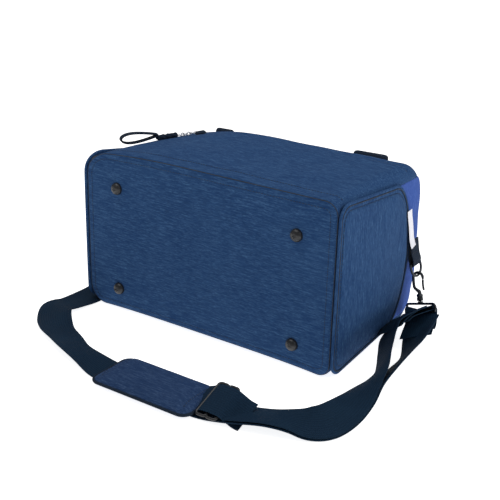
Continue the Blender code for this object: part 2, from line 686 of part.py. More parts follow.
def snap_hook(word, frame):
    """Cast hook on its swivel barrel, with the sprung gate that closes the bow."""
    centre_z = BOW_TOP - BOW
    path = [(0, 0, BARREL_TOP - 0.002), (0, 0, BARREL_TOP + 0.002), (-0.0035, 0, BARREL_TOP + 0.0055)]
    path += [(-BOW, 0, BARREL_TOP + 0.0105)]
    path += [(x, 0, z) for x, z in arc(0, centre_z, BOW, BOW, 180, 0, 8)]
    path += [(BOW, 0, centre_z - 0.003)]
    wire = tube(f"{word}_hook_wire", path, HOOK_R, "steel")
    barrel = turned(f"{word}_snap_hook", [
        (0, BARREL_TOP), (BARREL_R, BARREL_TOP), (BARREL_R, BARREL_TOP - BARREL_H),
        (0.0019, BARREL_TOP - BARREL_H), (0.0019, BARREL_TOP - BARREL_H + 0.006),
        (0, BARREL_TOP - BARREL_H + 0.006),
    ], "steel", 16)
    wire_mesh = bpy.data.meshes.new_from_object(wire.evaluated_get(bpy.context.evaluated_depsgraph_get()))
    bpy.data.objects.remove(wire)
    bm = bmesh.new()
    bm.from_mesh(wire_mesh)
    bmesh.ops.remove_doubles(bm, verts=bm.verts, dist=0.00001)
    joined = cutter(f"{word}_bow", mesh_from(bm, f"{word}_bow"))
    weld = barrel.modifiers.new("Bow", "BOOLEAN")
    weld.operation = "UNION"
    weld.solver = "EXACT"
    weld.object = joined
    barrel.matrix_world = frame
    joined.matrix_world = frame

    tip = centre_z - 0.003 - GAP
    foot = BARREL_TOP + 0.0050
    bar = [(0, 0, 0), (0, 0, (tip - foot) / 2), (0, 0, tip - foot)]
    gate = tube(f"{word}_hook_gate", bar, 0.0016, "steel")
    gate.matrix_world = frame @ Matrix.Translation((BOW, 0, foot))


RECT_HALF = 0.0275
RECT_TALL = 0.0115
RECT_TOP = BARREL_TOP - BARREL_H - 0.0042


def strap_ring(word, frame, side):
    """Rectangular ring that carries the strap, with the swivel post that turns in the barrel."""
    turn = Matrix.Rotation(math.radians(side * -20), 4, "Z")
    r = 0.004
    line = rounded(-RECT_HALF, RECT_TOP - RECT_TALL, RECT_HALF, RECT_TOP, r, 3)
    loop = tube(f"{word}_ring_loop", [(x, 0, z) for x, z in line], WIRE_R, "steel", cyclic=True)
    loop_mesh = bpy.data.meshes.new_from_object(loop.evaluated_get(bpy.context.evaluated_depsgraph_get()))
    bpy.data.objects.remove(loop)
    bm = bmesh.new()
    bm.from_mesh(loop_mesh)
    bmesh.ops.remove_doubles(bm, verts=bm.verts, dist=0.00001)
    joined = cutter(f"{word}_rect", mesh_from(bm, f"{word}_rect"))
    base = BARREL_TOP - BARREL_H
    post = turned(f"{word}_strap_ring", [
        (0, base + 0.005), (0.0015, base + 0.005), (0.0015, base - GAP), (0.0038, base - GAP),
        (0.0038, RECT_TOP - 0.0005), (0, RECT_TOP - 0.0005),
    ], "steel", 16)
    weld = post.modifiers.new("Loop", "BOOLEAN")
    weld.operation = "UNION"
    weld.solver = "EXACT"
    weld.object = joined
    post.matrix_world = frame @ turn
    joined.matrix_world = frame @ turn


# ---- shoulder strap, its return leg, the adjuster and the pad ----

# (x, rise, z, tilt) from the left ring, round the front of the bag and up to the right ring
STRAP_ROUTE = [
    (-0.2455, 0.1930, 0.0285, 20), (-0.2410, 0.1580, 0.0130, 20), (-0.2340, 0.1200, 0.0070, 12),
    (-0.2270, 0.0800, 0.0030, 4), (-0.2215, 0.0350, 0.0016, 0), (-0.2205, -0.0020, 0.0016, 0),
    (-0.2215, -0.0320, 0.0036, -3), (-0.2245, -0.0560, 0.0060, -2), (-0.2077, -0.0811, 0.0065, -6),
    (-0.1759, -0.1087, 0.0067, 8), (-0.1430, -0.1252, 0.0077, 13), (-0.1113, -0.1407, 0.0087, 17),
    (-0.0740, -0.1490, 0.0050, 10), (-0.0400, -0.1560, 0.0016, 0), (0.0000, -0.1580, 0.0016, 0),
    (0.0700, -0.1580, 0.0016, 0), (0.1250, -0.1570, 0.0016, 0), (0.1600, -0.1535, 0.0040, 5),
    (0.2061, -0.1416, 0.0090, 9), (0.2356, -0.1309, 0.0102, -1), (0.2568, -0.1226, 0.0107, -20),
    (0.2700, -0.1089, 0.0115, -23), (0.2765, -0.0832, 0.0127, -13), (0.2774, -0.0513, 0.0141, 6),
    (0.2750, -0.0153, 0.0161, 28), (0.2766, 0.0263, 0.0184, 43), (0.2767, 0.0710, 0.0205, 50),
    (0.2749, 0.1125, 0.0221, 51), (0.2620, 0.1560, 0.0250, 36), (0.2500, 0.1960, 0.0300, 20),
]
# the strap's return leg lies on it between these places of STRAP_ROUTE, then runs free to the ring
LAP_START, LAP_END = 17, 24
RETURN_LIFT = 0.0036
STRAP_STEPS = 6
ADJUSTER = (0.1422, -0.1545, 0.0172)
ADJUSTER_TILT = math.radians(20)
RETURN_ROUTE = [
    (0.2725, 0.0128, 0.0240, 47), (0.2669, 0.0401, 0.0278, 64), (0.2579, 0.0646, 0.0301, 65),
    (0.2463, 0.0933, 0.0327, 61), (0.2344, 0.1318, 0.0345, 53), (0.2380, 0.1925, 0.0385, 35),
]


def shoulder_strap():
    """The strap, its return leg on top of it, and the slide adjuster where the return leg starts."""
    whole = lying_stations(STRAP_ROUTE, STRAP_STEPS)
    band("shoulder_strap", whole, STRAP_W, STRAP_T, "strap")
    first, last = STRAP_STEPS * LAP_START, STRAP_STEPS * LAP_END
    lapped = [(centre - out * RETURN_LIFT, across, out) for centre, across, out in whole[first:last]]
    lead = []
    for i in (LAP_END - 1, LAP_END):
        centre, _, out = whole[STRAP_STEPS * i]
        spot = centre - out * RETURN_LIFT
        lead.append((spot.x, spot.y - BASE_Y, spot.z, STRAP_ROUTE[i][3]))
    free = lying_stations(lead + RETURN_ROUTE, STRAP_STEPS)[STRAP_STEPS:]
    band("strap_return", lapped + free, STRAP_W - 0.002, STRAP_T, "strap")
    adjuster()
    pad_parts()


def adjuster():
    """Moulded slide adjuster across the strap: a rounded frame with a middle bar, its far end propped up."""
    half, reach = STRAP_W / 2 + 0.0045, 0.0165
    slot = 0.0048
    outlines = [rounded(-reach, -half, reach, half, 0.005, 3)]
    for side in (-1, 1):
        middle = side * 0.0078
        outlines.append(rounded(middle - slot, -half + 0.004, middle + slot, half - 0.004, 0.0015, 2))
    made = plate("strap_adjuster", outlines, "Z", -0.0018, 0.0018, "plastic")
    made.location = (ADJUSTER[0], BASE_Y + ADJUSTER[1], ADJUSTER[2])
    made.rotation_euler = (ADJUSTER_TILT, 0, 0)


def pad_parts():
    pad_x = (-0.0340, 0.1250)
    pad_rise = (-0.1970, -0.1175)
    low = (pad_x[0], BASE_Y + pad_rise[0], 0.0006)
    pad = block("shoulder_pad", low, (pad_x[1], BASE_Y + pad_rise[1], 0.0165), "heather", 0.005)
    channel = block("pad_channel", (pad_x[0] - 0.01, BASE_Y - 0.1905, -0.002),
                    (pad_x[1] + 0.01, BASE_Y - 0.1260, 0.0034), "heather")
    as_cutter(channel)
    cut = pad.modifiers.new("Strap channel", "BOOLEAN")
    cut.operation = "DIFFERENCE"
    cut.solver = "EXACT"
    cut.object = channel


# ---- small pieces on the front side and the end ----

def tether():
    """Short safety tether that lies on the front side: anchor tab, snap clip, braid and hand loop."""
    start = Vector((-0.1380, 0.1810, 0))
    way = Vector((-0.2150, 0.0580, 0)) - start
    way.normalize()
    side = way.cross(Vector((0, 0, 1)))
    up = Vector((0, 0, 1))

    def place(s, off=0.0, lift=0.0):
        x, rise, _ = start + way * s + side * off
        return Vector((x, BASE_Y + rise, DEPTH - droop(x, rise) + lift))

    tab = [(place(s, 0, 0.0034), side, up) for s in (-0.006, 0.010)]
    band("tether_anchor", tab, 0.012, 0.0030, "webbing")
    clip = [place(0.0115, 0, 0.0042)]
    clip += [place(0.0200 - 0.0055 * math.cos(a), 0.0055 * math.sin(a), 0.0042)
             for a in (math.radians(v) for v in range(30, 180, 30))]
    clip += [place(0.0330, 0, 0.0042), place(0.0400, 0, 0.0042)]
    tube("tether_clip", clip, 0.0020, "steel")
    braid = [place(0.0405 + 0.0275 * t, 0.0015 * math.sin(3 * t), 0.0046) for t in (0, 0.25, 0.5, 0.75, 1)]
    tube("tether_braid", braid, 0.0040, "webbing")
    loop = []
    for i in range(25):
        a = math.radians(10 + 340 * i / 24)
        tall = 0.0078 * math.sin(a) * (1 - 0.55 * math.cos(a)) / 1.2
        loop.append(place(0.1000 - 0.0290 * math.cos(a), 0, 0.0102 + tall))
    stations = []
    for i, spot in enumerate(loop):
        ahead = (loop[min(i + 1, 24)] - loop[max(i - 1, 0)]).normalized()
        stations.append((spot, side, ahead.cross(side)))
    band("tether_loop", stations, 0.0100, 0.0014, "webbing")


def care_label():
    corners = [(0.1960, 0.1380), (0.2090, 0.1380), (0.2030, 0.1850), (0.1900, 0.1850)]
    line = [(BASE_Y + rise, z) for rise, z in corners]
    plate("care_label", [line], "X", TAB_X, TAB_X + 0.0008, "label")


clear_scene()
BAG = collection("pet_carrier_bag")
CUTTERS = collection("cutters")
base_group()
side_panels()
end_panels()
shoulders()
roof()
handles()
end_hardware(1, "right")
end_hardware(-1, "left")
shoulder_strap()
tether()
care_label()
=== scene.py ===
import math

import bmesh
import bpy
import numpy as np
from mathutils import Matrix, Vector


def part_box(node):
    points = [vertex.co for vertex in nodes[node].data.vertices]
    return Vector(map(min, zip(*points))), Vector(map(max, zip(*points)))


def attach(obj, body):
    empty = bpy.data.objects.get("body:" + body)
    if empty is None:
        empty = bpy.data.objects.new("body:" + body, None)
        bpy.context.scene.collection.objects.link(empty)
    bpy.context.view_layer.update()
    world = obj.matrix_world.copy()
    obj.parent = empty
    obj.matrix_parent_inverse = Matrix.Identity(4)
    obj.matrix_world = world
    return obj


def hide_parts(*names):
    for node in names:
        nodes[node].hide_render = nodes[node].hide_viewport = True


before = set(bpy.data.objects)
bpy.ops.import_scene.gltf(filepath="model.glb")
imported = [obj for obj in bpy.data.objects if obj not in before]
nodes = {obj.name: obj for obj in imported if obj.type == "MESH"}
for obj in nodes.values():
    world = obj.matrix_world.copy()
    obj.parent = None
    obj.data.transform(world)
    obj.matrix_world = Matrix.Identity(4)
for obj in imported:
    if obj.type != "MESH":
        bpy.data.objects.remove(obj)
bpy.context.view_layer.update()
print("frame loaded", len(nodes), "nodes")

# ---- camera and light ----

camera = {"place": (0.7743, -1.1854, 0.6449), "turn": (1.1948, -0.0255, 0.601), "lens": 72.64}


def addCamera():
    data = bpy.data.cameras.new("mainCamera")
    data.lens = camera["lens"]
    data.sensor_width = 36.0
    data.clip_start = 0.05
    made = bpy.data.objects.new("mainCamera", data)
    made.location = camera["place"]
    made.rotation_euler = camera["turn"]
    bpy.context.scene.collection.objects.link(made)
    bpy.context.scene.camera = made


addCamera()

studio = {
    "worldColor": (1.0, 1.0, 1.0), "worldStrength": 0.30,
    "topSize": 1.3, "topPower": 10.0, "topPlace": (-0.25, -0.15, 1.45),
    "sideSize": 0.9, "sidePower": 6.2, "sidePlace": (1.15, 0.15, 0.95),
    "floorSize": 30.0, "floorGlow": 0.86,
}


def areaLight(name, place, size, power):
    data = bpy.data.lights.new(name, "AREA")
    data.shape = "DISK"
    data.size = size
    data.energy = power
    made = bpy.data.objects.new(name, data)
    made.location = place
    aim = np.array((0.0, 0.0, 0.08)) - np.array(place)
    flat = math.hypot(aim[0], aim[1])
    made.rotation_euler = (math.atan2(flat, -aim[2]), 0, math.atan2(-aim[0], aim[1]))
    bpy.context.scene.collection.objects.link(made)


def addStudio():
    world = bpy.data.worlds.new("studio")
    world.use_nodes = True
    world.node_tree.nodes["Background"].inputs["Color"].default_value = (*studio["worldColor"], 1)
    world.node_tree.nodes["Background"].inputs["Strength"].default_value = studio["worldStrength"]
    bpy.context.scene.world = world
    areaLight("topSoftbox", studio["topPlace"], studio["topSize"], studio["topPower"])
    areaLight("sideSoftbox", studio["sidePlace"], studio["sideSize"], studio["sidePower"])
    reach = studio["floorSize"] / 2
    mesh = bpy.data.meshes.new("studioFloor")
    mesh.from_pydata([(-reach, -reach, -0.0004), (reach, -reach, -0.0004), (reach, reach, -0.0004),
                      (-reach, reach, -0.0004)], [], [(0, 1, 2, 3)])
    floor = bpy.data.objects.new("studioFloor", mesh)
    bpy.context.scene.collection.objects.link(floor)
    pale = bpy.data.materials.new("paleFloor")
    pale.use_nodes = True
    shader = pale.node_tree.nodes["Principled BSDF"]
    shader.inputs["Base Color"].default_value = (0.93, 0.93, 0.93, 1)
    shader.inputs["Roughness"].default_value = 0.9
    shader.inputs["Emission Color"].default_value = (1, 1, 1, 1)
    shader.inputs["Emission Strength"].default_value = studio["floorGlow"]
    mesh.materials.append(pale)


addStudio()
bpy.context.scene.view_settings.view_transform = "Standard"
print("camera and studio ready")

# ---- small node helpers ----


class Board:
    # adds and links nodes in one tree, whether a material's or a group's

    def __init__(self, tree):
        self.tree = tree

    def add(self, kind, **settings):
        made = self.tree.nodes.new(kind)
        for key, value in settings.items():
            setattr(made, key, value)
        return made

    def join(self, source, target):
        self.tree.links.new(source, target)

    def value(self, operation, a, b=None):
        made = self.add("ShaderNodeMath", operation=operation)
        for socket, item in zip(made.inputs, (a, b)):
            if item is None:
                continue
            if isinstance(item, (int, float)):
                socket.default_value = item
            else:
                self.join(item, socket)
        return made.outputs[0]

    def stretched(self, vector, size):
        made = self.add("ShaderNodeVectorMath", operation="MULTIPLY")
        self.join(vector, made.inputs[0])
        made.inputs[1].default_value = size
        return made.outputs[0]

    def noise(self, vector, scale, detail=2.0, roughness=0.5):
        made = self.add("ShaderNodeTexNoise")
        made.inputs["Scale"].default_value = scale
        made.inputs["Detail"].default_value = detail
        made.inputs["Roughness"].default_value = roughness
        self.join(vector, made.inputs["Vector"])
        return made.outputs["Fac"]

    def ramp(self, factor, low, high):
        made = self.add("ShaderNodeMapRange")
        made.inputs["From Min"].default_value = low
        made.inputs["From Max"].default_value = high
        self.join(factor, made.inputs["Value"])
        return made.outputs["Result"]

    def mix(self, factor, a, b, blend="MIX"):
        made = self.add("ShaderNodeMix", data_type="RGBA", blend_type=blend)
        for socket, item in ((made.inputs["Factor"], factor), (made.inputs["A"], a), (made.inputs["B"], b)):
            target = socket
            if socket.name in ("A", "B"):
                target = [s for s in made.inputs if s.name == socket.name and s.type == "RGBA"][0]
            if isinstance(item, (int, float)):
                target.default_value = item
            elif isinstance(item, tuple):
                target.default_value = item
            else:
                self.join(item, target)
        return [s for s in made.outputs if s.type == "RGBA"][0]


def newGroup(name, inputs, outputs):
    group = bpy.data.node_groups.new(name, "ShaderNodeTree")
    for label, kind, value in inputs:
        socket = group.interface.new_socket(name=label, in_out="INPUT", socket_type=kind)
        if value is not None:
            socket.default_value = value
    for label, kind in outputs:
        group.interface.new_socket(name=label, in_out="OUTPUT", socket_type=kind)
    board = Board(group)
    return group, board, board.add("NodeGroupInput"), board.add("NodeGroupOutput")


def splitCoords(board, vector):
    made = board.add("ShaderNodeSeparateXYZ")
    board.join(vector, made.inputs[0])
    return made.outputs


# two-tone cloth: long thin slubs of a lighter thread over a dark ground, on a fine plain weave
def heatherGroup():
    group, board, source, sink = newGroup("heatherCloth", [
        ("Vector", "NodeSocketVector", None), ("Ground", "NodeSocketColor", (0.02, 0.05, 0.12, 1)),
        ("Slub", "NodeSocketColor", (0.05, 0.10, 0.20, 1)),
        ("Deep", "NodeSocketColor", (0.01, 0.02, 0.06, 1)),
    ], [("Color", "NodeSocketColor"), ("Height", "NodeSocketFloat")])
    vector = source.outputs["Vector"]
    long = board.noise(board.stretched(vector, (0.10, 1.0, 1.0)), 620, 2.0, 0.6)
    short = board.noise(board.stretched(vector, (0.22, 1.0, 1.0)), 1100, 1.0, 0.5)
    broad = board.noise(vector, 16, 3.0, 0.55)
    slub = board.ramp(long, 0.42, 0.70)
    pit = board.ramp(short, 0.38, 0.58)
    cloth = board.mix(slub, source.outputs["Ground"], source.outputs["Slub"])
    cloth = board.mix(board.value("MULTIPLY", board.value("SUBTRACT", 1.0, pit), 0.55), cloth,
                      source.outputs["Deep"])
    shade = board.mix(board.value("MULTIPLY", board.ramp(broad, 0.35, 0.70), 0.14), cloth,
                      source.outputs["Slub"])
    axes = splitCoords(board, vector)
    warp = board.value("SINE", board.value("MULTIPLY", axes[0], 5200))
    weft = board.value("SINE", board.value("MULTIPLY", axes[1], 5200))
    weave = board.value("MULTIPLY", warp, weft)
    height = board.value("ADD", board.value("MULTIPLY", weave, 0.35), board.value("MULTIPLY", long, 0.7))
    board.join(shade, sink.inputs["Color"])
    board.join(height, sink.inputs["Height"])
    return group


# ribbed webbing: ridges along the length crossed by fine picks; the rib crowns are painted lighter as a painted
# highlight, and broad random patches of the lighter thread are wear
def webbingGroup():
    group, board, source, sink = newGroup("ribbedWebbing", [
        ("Vector", "NodeSocketVector", None), ("Thread", "NodeSocketColor", (0.01, 0.03, 0.06, 1)),
        ("CrownHighlightAndWear", "NodeSocketColor", (0.03, 0.06, 0.10, 1)), ("Ribs", "NodeSocketFloat", 2600.0),
        ("Picks", "NodeSocketFloat", 3600.0),
    ], [("Color", "NodeSocketColor"), ("Height", "NodeSocketFloat")])
    axes = splitCoords(board, source.outputs["Vector"])
    rib = board.value("SINE", board.value("MULTIPLY", axes[1], source.outputs["Ribs"]))
    pick = board.value("SINE", board.value("ADD", board.value("MULTIPLY", axes[0], source.outputs["Picks"]),
                                           board.value("MULTIPLY", rib, 1.6)))
    both = board.value("ADD", board.value("MULTIPLY", rib, 0.5), board.value("MULTIPLY", pick, 0.5))
    fuzz = board.noise(source.outputs["Vector"], 900, 2.0)
    patch = board.noise(source.outputs["Vector"], 22, 3.0)
    # painted highlight: up to 45% of the lighter colour on the rib crowns, where the bump's height is greatest;
    # the broad patches added next are random wear
    high = board.value("MULTIPLY", board.ramp(both, -0.2, 0.9), 0.45)
    mask = board.value("ADD", high, board.value("MULTIPLY", board.ramp(patch, 0.45, 0.75), 0.3))
    cloth = board.mix(mask, source.outputs["Thread"], source.outputs["CrownHighlightAndWear"])
    board.join(cloth, sink.inputs["Color"])
    board.join(board.value("ADD", both, board.value("MULTIPLY", fuzz, 0.6)), sink.inputs["Height"])
    return group


# fine grain: small mottling for plastics, boards and metals, with a roughness mask
def grainGroup():
    group, board, source, sink = newGroup("fineGrain", [
        ("Vector", "NodeSocketVector", None), ("Scale", "NodeSocketFloat", 1.0),
        ("Main", "NodeSocketColor", (0.02, 0.02, 0.02, 1)),
        ("Rubbed", "NodeSocketColor", (0.06, 0.06, 0.06, 1)),
        ("Low", "NodeSocketFloat", 0.3), ("High", "NodeSocketFloat", 0.5),
    ], [("Color", "NodeSocketColor"), ("Roughness", "NodeSocketFloat"), ("Height", "NodeSocketFloat")])
    fine = board.add("ShaderNodeTexNoise")
    fine.inputs["Detail"].default_value = 3.0
    board.join(source.outputs["Vector"], fine.inputs["Vector"])
    board.join(board.value("MULTIPLY", source.outputs["Scale"], 900.0), fine.inputs["Scale"])
    cloud = board.noise(source.outputs["Vector"], 60, 3.0)
    colour = board.mix(board.value("MULTIPLY", board.ramp(cloud, 0.42, 0.75), 0.5),
                       source.outputs["Main"], source.outputs["Rubbed"])
    spread = board.value("SUBTRACT", source.outputs["High"], source.outputs["Low"])
    rough = board.value("ADD", source.outputs["Low"], board.value("MULTIPLY", spread, cloud))
    board.join(colour, sink.inputs["Color"])
    board.join(rough, sink.inputs["Roughness"])
    board.join(fine.outputs["Fac"], sink.inputs["Height"])
    return group


heatherCloth = heatherGroup()
ribbedWebbing = webbingGroup()
fineGrain = grainGroup()


def startMaterial(name, group, values, bump, distance, useUv=False, turn=(0, 0, 0), **sockets):
    made = bpy.data.materials.new(name)
    made.use_nodes = True
    board = Board(made.node_tree)
    shader = made.node_tree.nodes["Principled BSDF"]
    coords = board.add("ShaderNodeTexCoord")
    mapping = board.add("ShaderNodeMapping")
    mapping.inputs["Rotation"].default_value = turn
    board.join(coords.outputs["UV" if useUv else "Object"], mapping.inputs["Vector"])
    effect = board.add("ShaderNodeGroup")
    effect.node_tree = group
    board.join(mapping.outputs["Vector"], effect.inputs["Vector"])
    for key, value in values.items():
        effect.inputs[key].default_value = value
    board.join(effect.outputs["Color"], shader.inputs["Base Color"])
    if "Roughness" in effect.outputs:
        board.join(effect.outputs["Roughness"], shader.inputs["Roughness"])
    relief = board.add("ShaderNodeBump")
    relief.inputs["Strength"].default_value = bump
    relief.inputs["Distance"].default_value = distance
    board.join(effect.outputs["Height"], relief.inputs["Height"])
    board.join(relief.outputs["Normal"], shader.inputs["Normal"])
    for key, value in sockets.items():
        shader.inputs[key.replace("_", " ")].default_value = value
    return made


cloths = {
    "ground": (0.0135, 0.0480, 0.1380, 1), "slub": (0.0440, 0.1080, 0.2350, 1),
    "deep": (0.0055, 0.0250, 0.0850, 1),
    "royalGround": (0.0380, 0.0850, 0.3100, 1), "royalSlub": (0.0640, 0.1250, 0.4000, 1),
    "royalDeep": (0.0260, 0.0620, 0.2400, 1),
    # the lighter binding and strap colours are a painted highlight on the rib crowns together with random worn
    # patches
    "binding": (0.0080, 0.0160, 0.0320, 1), "bindingHighlightAndWear": (0.0200, 0.0350, 0.0620, 1),
    "strap": (0.0030, 0.0170, 0.0400, 1), "strapHighlightAndWear": (0.0080, 0.0330, 0.0680, 1),
}


def clothMaterials():
    heather = {"Ground": cloths["ground"], "Slub": cloths["slub"], "Deep": cloths["deep"]}
    royal = {"Ground": cloths["royalGround"], "Slub": cloths["royalSlub"], "Deep": cloths["royalDeep"]}
    soft = {"Roughness": 0.92, "Specular_IOR_Level": 0.12}
    made = {}
    # slubs run along the bag on its base and long sides, and upright on its ends
    made["heatherLong"] = startMaterial("heatherLong", heatherCloth, heather, 0.25, 0.0004, **soft)
    made["heatherEnd"] = startMaterial("heatherEnd", heatherCloth, heather, 0.25, 0.0004,
                                       turn=(0, math.radians(90), 0), **soft)
    made["heatherPad"] = startMaterial("heatherPad", heatherCloth, {
        "Ground": (0.0170, 0.0430, 0.1150, 1), "Slub": (0.0480, 0.0900, 0.1900, 1),
        "Deep": (0.0070, 0.0230, 0.0720, 1),
    }, 0.4, 0.0006, **soft)
    made["royal"] = startMaterial("royalCloth", heatherCloth, royal, 0.25, 0.0004,
                                  turn=(0, math.radians(90), 0), **soft)
    made["webbing"] = startMaterial("darkWebbing", ribbedWebbing, {
        "Thread": cloths["binding"], "CrownHighlightAndWear": cloths["bindingHighlightAndWear"]}, 0.6, 0.0006, True,
        Roughness=0.82, Specular_IOR_Level=0.15)
    made["strap"] = startMaterial("strapWebbing", ribbedWebbing, {
        "Thread": cloths["strap"], "CrownHighlightAndWear": cloths["strapHighlightAndWear"], "Ribs": 1900.0}, 0.6, 0.0007, True,
        Roughness=0.80, Specular_IOR_Level=0.15)
    made["thread"] = startMaterial("sewingThread", fineGrain, {
        "Main": (0.0060, 0.0120, 0.0250, 1), "Rubbed": (0.0200, 0.0320, 0.0550, 1), "Low": 0.6,
        "High": 0.8}, 0.3, 0.0002)
    # the lighter ribbon colour is painted sheen on the rib crowns, with random lighter patches
    made["label"] = startMaterial("satinRibbon", ribbedWebbing, {
        "Thread": (0.70, 0.70, 0.76, 1), "CrownHighlightAndWear": (0.86, 0.86, 0.90, 1), "Ribs": 5200.0, "Picks": 6400.0},
        0.2, 0.0002, True, Roughness=0.42, Sheen_Weight=0.2)
    made["fleece"] = startMaterial("fleecePile", fineGrain, {
        "Main": (0.40, 0.41, 0.43, 1), "Rubbed": (0.56, 0.57, 0.60, 1), "Low": 0.85, "High": 0.98}, 0.9,
        0.002,
        Sheen_Weight=0.3)
    return made


def hardMaterials():
    made = {}
    made["darkMetal"] = startMaterial("gunMetal", fineGrain, {
        "Main": (0.045, 0.050, 0.058, 1), "Rubbed": (0.110, 0.115, 0.125, 1), "Low": 0.22,
        "High": 0.42}, 0.15, 0.0002,
        Metallic=1.0)
    made["brightMetal"] = startMaterial("brightMetal", fineGrain, {
        "Main": (0.62, 0.63, 0.66, 1), "Rubbed": (0.78, 0.79, 0.82, 1), "Low": 0.18, "High": 0.38},
        0.12, 0.0002,
        Metallic=1.0)
    made["plastic"] = startMaterial("mouldedPlastic", fineGrain, {
        "Main": (0.0075, 0.0080, 0.0100, 1), "Rubbed": (0.0170, 0.0180, 0.0210, 1), "Low": 0.28,
        "High": 0.48},
        0.2, 0.0002)
    made["board"] = startMaterial("stiffBoard", fineGrain, {
        "Main": (0.026, 0.026, 0.028, 1), "Rubbed": (0.060, 0.060, 0.064, 1), "Low": 0.6, "High": 0.8},
        0.4, 0.0004)
    return made


# open net: alpha is 0 inside each round hole of a staggered pattern 2.6 mm apart
def netMaterial():
    made = bpy.data.materials.new("windowNet")
    made.use_nodes = True
    board = Board(made.node_tree)
    shader = made.node_tree.nodes["Principled BSDF"]
    axes = splitCoords(board, board.add("ShaderNodeTexCoord").outputs["Object"])
    wide = board.value("SINE", board.value("MULTIPLY", axes[0], 2400))
    tall = board.value("SINE", board.value("MULTIPLY", axes[2], 2400))
    holes = board.value("MULTIPLY", wide, tall)
    solid = board.value("LESS_THAN", board.value("ABSOLUTE", holes), 0.42)
    board.join(solid, shader.inputs["Alpha"])
    shader.inputs["Base Color"].default_value = (0.012, 0.014, 0.018, 1)
    tone = board.mix(board.ramp(holes, -0.5, 0.5), (0.008, 0.010, 0.014, 1), (0.030, 0.034, 0.042, 1))
    board.join(tone, shader.inputs["Base Color"])
    shader.inputs["Roughness"].default_value = 0.6
    return made


materials = {**clothMaterials(), **hardMaterials(), "net": netMaterial()}
print("materials ready", len(materials))

# ---- mesh helpers: every new piece is a grid of two parameters ----


# points[i, j] is the surface at the two parameters; uv is the distance walked along each of them, in metres
def gridPiece(name, points, material, body="bag", closeI=False, closeJ=False, capI=False, wall=0.0,
              inside=None,
              replaces=(), slot=None, sharp=50.0):
    ni, nj = points.shape[:2]
    rows = np.arange(ni if closeI else ni - 1)
    cols = np.arange(nj if closeJ else nj - 1)
    i, j = np.meshgrid(rows, cols, indexing="ij")
    i1, j1 = (i + 1) % ni, (j + 1) % nj
    quads = np.stack([i * nj + j, i1 * nj + j, i1 * nj + j1, i * nj + j1], -1).reshape(-1, 4)
    walkI = np.concatenate([[0], np.cumsum(np.linalg.norm(np.diff(points, axis=0), axis=2).mean(1))])
    walkJ = np.concatenate([[0], np.cumsum(np.linalg.norm(np.diff(points, axis=1), axis=2).mean(0))])
    stepI, stepJ = (walkI[-1] / max(ni - 1, 1)), (walkJ[-1] / max(nj - 1, 1))
    u0, v0 = walkI[i % ni], walkJ[j % nj]
    u1 = np.where(i + 1 < ni, walkI[(i + 1) % ni], walkI[-1] + stepI)
    v1 = np.where(j + 1 < nj, walkJ[(j + 1) % nj], walkJ[-1] + stepJ)
    uv = np.stack([np.stack([u0, v0], -1), np.stack([u1, v0], -1), np.stack([u1, v1], -1),
                   np.stack([u0, v1], -1)],
                  -2).reshape(-1, 2)
    verts = points.reshape(-1, 3)
    faces = quads.tolist()
    if capI:
        mids = np.stack([points[0].mean(0), points[-1].mean(0)])
        first = len(verts)
        verts = np.concatenate([verts, mids])
        ring = np.arange(nj if closeJ else nj - 1)
        after = (ring + 1) % nj
        start = np.stack([np.full_like(ring, first), after, ring], -1)
        end = np.stack([np.full_like(ring, first + 1), (ni - 1) * nj + ring, (ni - 1) * nj + after], -1)
        faces += start.tolist() + end.tolist()
        uv = np.concatenate([uv, np.zeros((6 * len(ring), 2))])
    mesh = bpy.data.meshes.new(name)
    mesh.from_pydata(verts.tolist(), [], faces)
    layer = mesh.uv_layers.new(name="UVMap")
    layer.data.foreach_set("uv", uv.astype(np.float32).ravel())
    mesh.materials.append(materials[material])
    return finishPiece(name, mesh, body, wall, inside, replaces, sharp)


# joins doubled poles, turns faces outwards, and hangs the piece on its body
def finishPiece(name, mesh, body, wall=0.0, inside=None, replaces=(), sharp=50.0):
    bm = bmesh.new()
    bm.from_mesh(mesh)
    bmesh.ops.remove_doubles(bm, verts=bm.verts, dist=0.000004)
    bmesh.ops.recalc_face_normals(bm, faces=bm.faces)
    if inside is not None:
        bm.normal_update()
        centre = np.array([f.calc_center_median() for f in bm.faces])
        way = np.array([f.normal for f in bm.faces])
        area = np.array([f.calc_area() for f in bm.faces])
        if (np.einsum("ij,ij->i", way, centre - np.array(inside)) * area).sum() < 0:
            bmesh.ops.reverse_faces(bm, faces=bm.faces)
    bm.to_mesh(mesh)
    bm.free()
    mesh.shade_smooth()
    mesh.set_sharp_from_angle(angle=math.radians(sharp))
    made = bpy.data.objects.new(name, mesh)
    bpy.context.scene.collection.objects.link(made)
    if wall:
        thick = made.modifiers.new("wall", "SOLIDIFY")
        thick.thickness = wall
        thick.offset = -1
    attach(made, body)
    if replaces:
        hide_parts(*replaces)
    return made


# a smooth curve through points: Catmull-Rom, n steps a span, worked out for all spans at once
def smoothCurve(points, n, closed=False):
    p = np.array(points, float)
    ends = (p[-1:], p[:1], p[1:2]) if closed else (2 * p[:1] - p[1:2], 2 * p[-1:] - p[-2:-1], None)
    full = np.concatenate([ends[0], p, ends[1]] + ([ends[2]] if closed else []))
    t = np.arange(n)[None, :, None] / n
    a, b, c, d = (full[k:len(full) - 3 + k][:, None] for k in range(4))
    made = 0.5 * (2 * b + (c - a) * t + (2 * a - 5 * b + 4 * c - d) * t ** 2 + (3 * b - a - 3 * c + d) * t ** 3)
    made = made.reshape(-1, p.shape[1])
    return made if closed else np.concatenate([made, p[-1:]])


def unit(v):
    return v / np.maximum(np.linalg.norm(v, axis=-1, keepdims=True), 1e-9)


